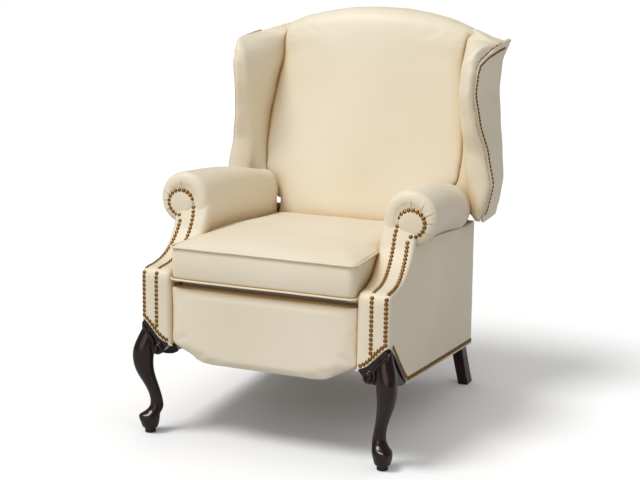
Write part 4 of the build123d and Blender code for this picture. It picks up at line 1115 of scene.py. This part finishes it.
class RECLINER_OT_arms(bpy.types.Operator):
    """Rolled arms, their inner faces and the leather over the arm fronts"""

    bl_idname = "recliner.arms"
    bl_label = "Arms"

    def execute(self, context):
        edge = 19
        rings = []
        for inward, ahead in ((36, 1.0), (33, 0.2), (30, -0.8), (27, -1.4), (24, -1.6)):
            rings.append(arm_ring(ROLL_FRONT_Y, inward, ROLL_FRONT_Y + ahead))
        for i in range(9):
            a = math.pi / 2 * i / 8
            inward = edge * (1 - math.sin(a)) + 1.5 * math.cos(a)
            rings.append(arm_ring(ROLL_FRONT_Y, inward, ROLL_FRONT_Y - 1.4 + edge * (1 - math.cos(a))))
        body_steps = 44
        for i in range(1, body_steps):
            y = between(ROLL_FRONT_Y + edge, ROLL_END_Y - 8, i / body_steps)
            rings.append(arm_ring(y, 0, y))
        for i in range(6):
            a = math.pi / 2 * i / 5
            rings.append(arm_ring(ROLL_END_Y - 8, 8 * (1 - math.cos(a)), ROLL_END_Y - 8.5 + 8 * math.sin(a)))
        roll = skin("arm_roll_left", rings)

        def pleats(spot, normal):
            if spot.y < ROLL_FRONT_Y + 16:
                return spot + Vector((0, 1, 0)) * pleat_depth(spot.x, spot.z)
            wave = noise.noise(Vector((spot.x * 0.012, spot.y * 0.007, spot.z * 0.012)))
            ease = min(1.0, (spot.y - ROLL_FRONT_Y - 16) / 40)
            return spot + normal * 1.3 * wave * ease

        moved_points(roll, pleats)
        smooth(roll)
        finish_both(roll, "leather", "base", "arm_pad")
        self.fronts()
        self.inner_faces()
        return {"FINISHED"}

    def fronts(self):
        """Band of leather down each arm front, wrapped round both edges, and the scroll's face."""
        path = [(-206, 596), (-213, 578), (-219, 562), (-224, 551)] + s_line()
        wrap = [(430, 257), (455, 251.5), (480, 248), (505, 247)]  # z and x of the band's inner wrap
        rows = []
        for k, (y, z) in enumerate(path):
            before, after = path[max(0, k - 1)], path[min(len(path) - 1, k + 1)]
            way = Vector((after[0] - before[0], after[1] - before[1])).normalized()
            columns = self.front_columns(value_at(wrap, z))
            rows.append([(x, y - way.y * depth, z + way.x * depth) for x, depth in columns])
        # straight down the post, to its cut-out over the leg
        notch = [(p.x, p.y) for p in curve_through([(x, z, 0) for x, z in FRONT_NOTCH])]
        post_top, post_steps = s_line()[-1][1], 14
        for k in range(1, post_steps + 1):
            row = []
            for x, depth in self.front_columns(wrap[0][1]):
                foot = value_at(notch, clamped(x, POST_IN, 334))
                row.append((x, FRONT_Y + depth, between(post_top, foot, k / post_steps)))
            rows.append(row)
        band = cloth_sheet("arm_front_left", rows, 3.5)
        outward(band)

        def fold(spot, normal):
            """Crease of the leather where the sweep of the arm meets the upright post."""
            if spot.z > 452 or spot.z < 420 or spot.y > -380:
                return spot
            return spot + Vector((0, 1.4, 0)) * math.exp(-(((spot.z - 438) / 1.8) ** 2))

        moved_points(band, fold)
        smooth(band, 50)
        finish_both(band, "leather", "base", "arm_facing")

        turns = [2 * math.pi * i / 48 for i in range(48)]
        dome = ((4, 2.4), (14, 2.2), (24, 1.7), (31, 0.9), (35, -0.4), (37, -1.8), (38, -4), (38, -7))
        rings = []
        for radius, lift in dome:
            y = SCROLL_Y + 1.5 - lift
            rings.append(
                [(SCROLL[0] + radius * math.cos(a), y, SCROLL[1] + radius * math.sin(a)) for a in turns]
            )
        finish_both(smooth(skin("scroll_face_left", rings)), "leather", "base")

    def front_columns(self, inner):
        """x and depth of the points across an arm front, from its inner wrap to its outer edge."""
        inner_r, outer_r = 12, 6
        flat_end = SIDE_X - outer_r
        columns = [(inner, 30), (inner, 22)]
        for i in range(7):
            a = math.pi / 2 * i / 6
            columns.append((inner + inner_r * (1 - math.cos(a)), inner_r * (1 - math.sin(a))))
        for i in range(1, 12):
            t = i / 12
            columns.append((between(inner + inner_r, flat_end, t), -1.6 * math.sin(math.pi * t) ** 0.6))
        for i in range(6):
            a = math.pi / 2 * i / 5
            columns.append((flat_end + outer_r * math.sin(a), outer_r * (1 - math.cos(a))))
        columns.append((SIDE_X, 12))
        return columns

    def inner_faces(self):
        """Leather down the inner side of each arm."""
        outline = [(y + 9, z - 3) for y, z in s_line()[8:]]
        outline += [(FRONT_Y + 9, 399), (343, 399), (343, 480), (-205, 480), (-214, 500)]

        def place(y, z, depth):
            inner = between(*INNER_ARM, clamped((y - FRONT_Y - 9) / 600))
            return (inner + 0.6 + depth, y, z)

        inside = padded_board("inside_arm_left", outline, 20, place, voxel=5, rounds=3)
        both = joined("inside_arms", [inside, mirrored(inside, "inside_arm_right")])
        smooth(outward(both))
        finish_piece(both, "leather", "base", ["inside_arm_panels"])


# ---------------------------------------------------------------- piping of the base


class RECLINER_OT_base_piping(bpy.types.Operator):
    """Piping along the lower edge of the base and round the arms"""

    bl_idname = "recliner.base_piping"
    bl_label = "Base piping"

    def execute(self, context):
        notch = [(x, FRONT_Y + 0.8, z - 1.6) for x, z in FRONT_NOTCH[:-1]] + [(331, FRONT_Y + 1.5, 312)]
        edge = [(side_x(y) - 0.8, y, z - 1.6) for y, z in SIDE_NOTCH[1:]]
        bottom = []
        for y in (-200, 0, 200, 369):
            panel_z = between(184, PANEL_REAR_Z, (y + 252) / (REAR_Y + 252))
            bottom.append((side_x(y) - 0.8, y, panel_z - 2.4))
        line = [(257, FRONT_Y + 8, 247.5), *notch, (334.5, FRONT_Y + 9, 312), *edge, *bottom]
        cord = round_cord("lower_cord", line, 2.6, steps=8)
        seam = []
        for i in range(9):
            y = between(-150, 190, i / 8)
            rx, rz, rr = roll_at(y)
            at = side_x(y)
            seam.append((at - 0.5, y, rz - math.sqrt(rr * rr - (at - rx) ** 2) + 0.5))
        under = round_cord("under_roll_cord", seam, 1.6)
        rear_ring = arm_ring(ROLL_END_Y - 4, 1.0, ROLL_END_Y - 1.6)[: ROLL_STEPS + 1 : 7]
        rear_cord = round_cord("roll_end_cord", rear_ring, 1.7)
        cords = [cord, under, rear_cord]
        cords += [mirrored(part, part.name + "_right") for part in cords]
        welts = joined("base_piping", cords)
        finish_piece(welts, "leather", "base", ["base_welts"])
        return {"FINISHED"}


# ---------------------------------------------------------------- nailheads


def nail_master(radius, height):
    """One domed nailhead, its dome along +z."""
    deselect()
    bpy.ops.mesh.primitive_uv_sphere_add(segments=10, ring_count=8, radius=1)
    master = bpy.context.object
    bpy.ops.object.mode_set(mode="EDIT")
    bpy.ops.mesh.select_all(action="SELECT")
    bpy.ops.mesh.bisect(plane_co=(0, 0, 0), plane_no=(0, 0, 1), clear_inner=True, use_fill=True)
    bpy.ops.object.mode_set(mode="OBJECT")
    for vertex in master.data.vertices:
        vertex.co = Vector((vertex.co.x * radius, vertex.co.y * radius, vertex.co.z**1.25 * height)) * MM
    return master


def nails_at(name, master, spots, body, nodes):
    """One piece of nailheads: a copy of the master at each (place, outward direction)."""
    points, faces = [], []
    shape = [v.co / MM for v in master.data.vertices]
    loops = [tuple(p.vertices) for p in master.data.polygons]
    for k, (spot, out) in enumerate(spots):
        turn = out.to_track_quat("Z", "Y").to_matrix() @ Matrix.Rotation(k * 0.7, 3, "Z")
        base = len(points)
        points += [spot + turn @ p for p in shape]
        faces += [tuple(base + i for i in loop) for loop in loops]
    nails = piece_from(name, points, faces)
    smooth(nails, 60)
    finish_piece(nails, "antique_brass", body, nodes)


def seated(spots, names):
    """Nail places moved onto the leather of the named pieces, square to it."""
    reach = 14.0
    trees = []
    for name in names:
        mesh = bpy.data.objects[name].data
        corners = [v.co / MM for v in mesh.vertices]
        trees.append(BVHTree.FromPolygons(corners, [p.vertices for p in mesh.polygons]))
    found = []
    for spot, out in spots:
        best = None
        for tree in trees:
            hit, normal, _, far = tree.ray_cast(spot + out * reach, -out, 2 * reach)
            if hit is not None and (best is None or far < best[2]):
                best = (hit, normal, far)
        if best is None:
            found.append((spot, out))
        else:
            square = (out * 0.4 + best[1] * 0.6 * (1 if best[1].dot(out) > 0 else -1)).normalized()
            found.append((best[0] - square * 0.3, square))
    return found


class RECLINER_OT_nailheads(bpy.types.Operator):
    """Rows of nailheads on the arms, the base and the wings"""

    bl_idname = "recliner.nailheads"
    bl_label = "Nailheads"

    def execute(self, context):
        sizes = context.scene.recliner_sizes
        pitch = sizes.pitch / MM
        master = nail_master(sizes.nail / MM, 3.2)
        front, side = Vector((0, -1, 0)), Vector((1, 0, 0))
        spots = []

        def row(points, out, smooth_line=True):
            """Adds nails along points; out is the direction they face, or gives it for a place."""
            along = curve_through(points) if smooth_line else [Vector(p) for p in points]
            for spot in spaced(along, pitch):
                spots.append((spot, out(spot) if callable(out) else out))

        line = s_line()
        pick = [line[round(i * (len(line) - 4) / 5)] for i in range(6)]

        def outwards(spot):
            """Direction a nail faces: square to the sweep, straight ahead on the scroll and the post."""
            if spot.z > 556 or spot.z < 436:
                return front
            k = min(range(len(line)), key=lambda i: (line[i][0] - spot.y) ** 2 + (line[i][1] - spot.z) ** 2)
            a, b = line[max(0, k - 1)], line[min(len(line) - 1, k + 1)]
            return Vector((0, b[1] - a[1], a[0] - b[0])).normalized()

        ring = []
        for i in range(24):
            a = math.radians(between(-96, 172, i / 23))
            ring.append((SCROLL[0] - 2.5 + 35.5 * math.cos(a), SCROLL_Y, SCROLL[1] + 34 * math.sin(a)))
        tail = [(286.5, SCROLL_Y, 577), (285.5, SCROLL_Y, 565), (284, SCROLL_Y - 2, 553)]
        inner = [(x, y, z) for x, (y, z) in zip((284, 285, 287, 290, 292.5, 293), pick)]
        outer = [(x, y, z) for x, (y, z) in zip((319.5, 321, 323.5, 327, 329.4, 329.6), pick)]
        inner += [(293.3, FRONT_Y, 420), (293.5, FRONT_Y, 360), (293.5, FRONT_Y, 292)]
        outer += [(329.6, FRONT_Y, 420), (329.6, FRONT_Y, 370), (329.6, FRONT_Y, 327)]
        row([*ring, *tail, *inner], outwards)
        row(outer, outwards)
        row([(x + 6 if x < 260 else x - 1, FRONT_Y, z + 9.5) for x, z in FRONT_NOTCH], front)
        row([(side_x(y), y + 4.5, z + 8) for y, z in SIDE_NOTCH[1:]], side)
        row([(side_x(-246), -246, 191), (side_x(REAR_Y), REAR_Y - 4, PANEL_REAR_Z + 7)], side, False)
        names = ("arm_front_left", "scroll_face_left", "side_panel_left")
        places = seated(spots, names)
        flip = Vector((-1, 1, 1))
        nails_at("arm_nails_left", master, places, "base", ["arm_nailheads_left"])
        places = [(p * flip, n * flip) for p, n in places]
        nails_at("arm_nails_right", master, places, "base", ["arm_nailheads_right"])

        spots.clear()
        row(wing_line(16.5), side, False)
        places = seated(spots, ("wing_outer_left",))
        places += [(p * flip, n * flip) for p, n in places]
        nails_at("wing_nails", master, places, "back", ["wing_nailheads"])
        bpy.data.objects.remove(master)
        return {"FINISHED"}


# ---------------------------------------------------------------- front legs

# Height, x and y of the centre, width, and how far the outer corner is drawn to a ridge
LEG = [
    (11, 325, -395.5, 37, 0.0),
    (16, 325, -395.5, 42, 0.02),
    (25, 325, -394.5, 47, 0.05),
    (38, 324.5, -396, 52, 0.12),
    (47, 323, -396, 52, 0.22),
    (51, 321, -394.5, 48, 0.24),
    (56, 317, -391, 42.5, 0.12),
    (63, 313, -386, 38.5, 0.05),
    (72, 310.7, -383.5, 35, 0.03),
    (85, 311.5, -383, 32, 0.04),
    (100, 314, -384, 31, 0.06),
    (120, 319, -388, 32.6, 0.08),
    (140, 325, -394, 37, 0.10),
    (160, 331, -400, 42.5, 0.12),
    (180, 335, -404, 47, 0.14),
    (205, 335.5, -406, 52, 0.15),
    (230, 334, -405, 54, 0.14),
    (255, 329, -399, 50, 0.10),
    (280, 323, -392, 42, 0.06),
    (308, 318, -386, 34, 0.0),
]


class RECLINER_OT_front_legs(bpy.types.Operator):
    """Carved cabriole front legs with slipper feet and scrolled knees"""

    bl_idname = "recliner.front_legs"
    bl_label = "Front legs"

    def execute(self, context):
        deselect()
        sides = 28
        bpy.ops.mesh.primitive_circle_add(vertices=sides, radius=0.5 * LEG[0][3] * MM, fill_type="NGON")
        leg = context.object
        leg.name = "front_leg_carved_left"
        leg.data.transform(Matrix.Translation(Vector((LEG[0][1], LEG[0][2], LEG[0][0])) * MM))
        bpy.ops.object.mode_set(mode="EDIT")
        bpy.ops.mesh.select_all(action="SELECT")
        for before, after in zip(LEG, LEG[1:]):
            step = [after[1] - before[1], after[2] - before[2], after[0] - before[0]]
            bpy.ops.mesh.extrude_region_move(TRANSFORM_OT_translate={"value": [v * MM for v in step]})
            grow = after[3] / before[3]
            centre = [after[1] * MM, after[2] * MM, after[0] * MM]
            bpy.ops.transform.resize(value=(grow, grow, 1), center_override=centre)
        bpy.ops.object.mode_set(mode="OBJECT")
        outward(leg)
        ridge = Vector((1, -1, 0)).normalized()

        def carve(spot, normal):
            """Ridge towards the outer front corner, and a flatter rear."""
            x, y, _, share = row_at(LEG, spot.z)
            away = Vector((spot.x - x, spot.y - y, 0))
            if away.length < 1:
                return spot
            toward = away.normalized().dot(ridge)
            out = share * max(0.0, toward) ** 7
            flat = -0.04 * share / 0.15 * max(0.0, -toward) ** 2
            return spot + away * (out * 1.25 + flat)

        moved_points(leg, carve)
        modifier(leg, "SUBSURF", levels=2, render_levels=2)
        parts = [leg, *self.knee_blocks()]
        leg = joined("front_leg_carved_left", parts)
        smooth(leg, 45)
        finish_both(leg, "leg_wood", "base", "front_leg")
        return {"FINISHED"}

    def knee_blocks(self):
        """Brackets either side of the knee, with their scrolls."""
        front = [(262, 250), (268, 241), (280, 228), (292, 220), (306, 218), (322, 214)]
        front += [(336, 236), (338, 300), (330, 309), (312, 290), (290, 268), (262, 254)]
        side = [(-404, 214), (-380, 214), (-350, 206), (-320, 194), (-290, 186), (-262, 184)]
        side += [(-258, 190), (-290, 224), (-332, 262), (-370, 300), (-404, 308)]
        inner = [(-404, 236), (-404, 316), (-330, 316), (-330, 262), (-360, 244)]
        blocks = [
            padded_board("knee_front", front, 30, lambda x, z, d: (x, -411 + d, z), voxel=2.5, rounds=3),
            padded_board("knee_side", side, 24, lambda y, z, d: (336 - d, y, z), voxel=2.5, rounds=3),
            padded_board("knee_inner", inner, 30, lambda y, z, d: (281 + d, y, z), voxel=3, rounds=1),
        ]
        for block in blocks:
            outward(block)
        # volute at the front bracket's end: a spiral bead that tightens to its eye
        eye_x, eye_y, eye_z = 290, -407, 237
        spiral = []
        for i in range(60):
            t = i / 59
            a = math.radians(60 - 560 * t)
            r = between(17.5, 3.0, t**0.8)
            spiral.append((eye_x + r * math.cos(a), -413.5 - 3.5 * t, eye_z + r * math.sin(a)))
        lead = [(334, -410, 292), (326, -413, 283), (314, -414, 268), (305, -413.5, 257)]
        blocks.append(round_cord("knee_volute", [*lead, *spiral[4::3]], 4.6, steps=4))
        deselect()
        place = (eye_x * MM, eye_y * MM, eye_z * MM)
        bpy.ops.mesh.primitive_uv_sphere_add(segments=24, ring_count=14, radius=0.0165, location=place)
        eye = bpy.context.object
        bpy.ops.object.transform_apply(location=True, rotation=True, scale=True)
        moved_points(eye, lambda spot, normal: (spot.x, eye_y + (spot.y - eye_y) * 0.5, spot.z))
        blocks.append(eye)
        # bead down the outer edge of the side bracket
        bead = [(338, -398, 304), (339, -372, 286), (339, -340, 254), (338, -300, 214), (336, -272, 192)]
        blocks.append(round_cord("knee_bead", bead, 3.0))
        return blocks


# ---------------------------------------------------------------- CAD parts that stay, and the stage


class RECLINER_OT_frame_finishes(bpy.types.Operator):
    """Finishes of the CAD nodes that stay: frame, springs, linkage, rear legs and glides"""

    bl_idname = "recliner.frame_finishes"
    bl_label = "Frame finishes"

    def execute(self, context):
        slots = {row["node"]: row["material_slot"] for row in frame["record"]["subparts"]}
        for name, obj in frame["nodes"].items():
            obj.data.materials.clear()
            obj.data.materials.append(material(slots[name]))
        return {"FINISHED"}


class RECLINER_OT_stage(bpy.types.Operator):
    """Pale floor, soft light and the camera"""

    bl_idname = "recliner.stage"
    bl_label = "Stage"

    def execute(self, context):
        settings = context.scene.recliner_stage
        deselect()
        bpy.ops.mesh.primitive_plane_add(size=40, location=(0, 0, -0.0005))
        floor = context.object
        floor.name = "floor"
        made, tree, shader = new_material("floor_matt_white")
        set_inputs(shader, Roughness=0.9, Specular_IOR_Level=0.0)
        sight = add_node(tree, "ShaderNodeLightPath").outputs["Is Camera Ray"]
        # white to the camera, and greyer for the light that it throws back on the chair
        tone = add_node(tree, "ShaderNodeMapRange", [("Value", sight)], in_To_Min=0.5, in_To_Max=1.0)
        tree.links.new(tone.outputs[0], shader.inputs["Base Color"])
        floor.data.materials.append(made)

        world = context.scene.world or bpy.data.worlds.new("studio")
        context.scene.world = world
        world.use_nodes = True
        tree = world.node_tree
        tree.nodes.clear()
        white = linear("#ffffff")
        path = add_node(tree, "ShaderNodeLightPath")
        light = add_node(tree, "ShaderNodeBackground", in_Color=white, in_Strength=settings.sky).outputs[0]
        # white behind the chair, and dim in reflections, so that dark lacquer stays dark between the
        # lamps' highlights
        for ray, power in (("Is Camera Ray", 1.0), ("Is Glossy Ray", settings.sky * 0.3)):
            other = add_node(tree, "ShaderNodeBackground", in_Color=white, in_Strength=power).outputs[0]
            mixed = [(0, path.outputs[ray]), (1, light), (2, other)]
            light = add_node(tree, "ShaderNodeMixShader", mixed).outputs[0]
        add_node(tree, "ShaderNodeOutputWorld", [("Surface", light)])

        lamps = (
            ("key", (-1.8, -1.9, 4.4), settings.key, 22),
            ("fill", (-0.6, -4.0, 1.5), settings.key * 0.26, 40),
        )
        for name, place, power, wide in lamps:
            data = bpy.data.lights.new(name, "SUN")
            data.energy = power
            data.angle = math.radians(wide)
            lamp = bpy.data.objects.new(name, data)
            lamp.location = place
            lamp.rotation_euler = (-Vector(place)).to_track_quat("-Z", "Y").to_euler()
            context.scene.collection.objects.link(lamp)

        # camera fitted to the photograph: its angles, focal length over picture width, and distance
        turn, tilt, roll = math.radians(22.2), math.radians(11.9), math.radians(0.9)
        focal_share, distance = 1336.7 / 640, 3.6635
        right = Vector((math.cos(turn), math.sin(turn), 0))
        back = Vector((math.sin(turn) * math.cos(tilt), -math.cos(turn) * math.cos(tilt), math.sin(tilt)))
        up = back.cross(right)
        across = right * math.cos(roll) + up * math.sin(roll)
        upward = up * math.cos(roll) - right * math.sin(roll)
        data = bpy.data.cameras.new("camera")
        data.sensor_width = 36
        data.lens = focal_share * data.sensor_width
        data.clip_end = 60
        camera = bpy.data.objects.new("camera", data)
        context.scene.collection.objects.link(camera)
        rows = Matrix((across, upward, back)).transposed()
        target = Vector((-6.5, -11.6, 473.2)) * MM
        camera.matrix_world = Matrix.Translation(target + back * distance) @ rows.to_4x4()
        context.scene.camera = camera
        context.scene.view_settings.view_transform = "Standard"
        return {"FINISHED"}


class RECLINER_PT_panel(bpy.types.Panel):
    """Pieces of the recliner and their settings"""

    bl_label = "Wing recliner"
    bl_idname = "RECLINER_PT_panel"
    bl_space_type = "VIEW_3D"
    bl_region_type = "UI"
    bl_category = "Recliner"

    def draw(self, context):
        for key in GROUPS:
            group = getattr(context.scene, key)
            box = self.layout.box()
            for name in group.__annotations__:
                box.prop(group, name)
        for step in STEPS:
            self.layout.operator(step)


GROUPS = {
    "recliner_sizes": RECLINER_PG_sizes,
    "recliner_leather": RECLINER_PG_leather,
    "recliner_finish": RECLINER_PG_finish,
    "recliner_stage": RECLINER_PG_stage,
}
OPERATORS = (
    RECLINER_OT_frame_finishes,
    RECLINER_OT_side_panels,
    RECLINER_OT_arms,
    RECLINER_OT_wings,
    RECLINER_OT_inside_back,
    RECLINER_OT_outside_back,
    RECLINER_OT_seat_cushion,
    RECLINER_OT_footrest,
    RECLINER_OT_base_piping,
    RECLINER_OT_nailheads,
    RECLINER_OT_front_legs,
    RECLINER_OT_stage,
)
STEPS = [operator.bl_idname for operator in OPERATORS]
CLASSES = (*GROUPS.values(), *OPERATORS, RECLINER_PT_panel)


def register():
    """Registers the classes and their settings."""
    for cls in CLASSES:
        bpy.utils.register_class(cls)
    for key, cls in GROUPS.items():
        setattr(bpy.types.Scene, key, bpy.props.PointerProperty(type=cls))


def unregister():
    """Takes the settings and the classes away again."""
    for key in GROUPS:
        delattr(bpy.types.Scene, key)
    for cls in reversed(CLASSES):
        bpy.utils.unregister_class(cls)


def main():
    """Makes every piece in order."""
    register()
    for step in STEPS:
        area, name = step.split(".")
        getattr(getattr(bpy.ops, area), name)()


if __name__ == "__main__":
    main()
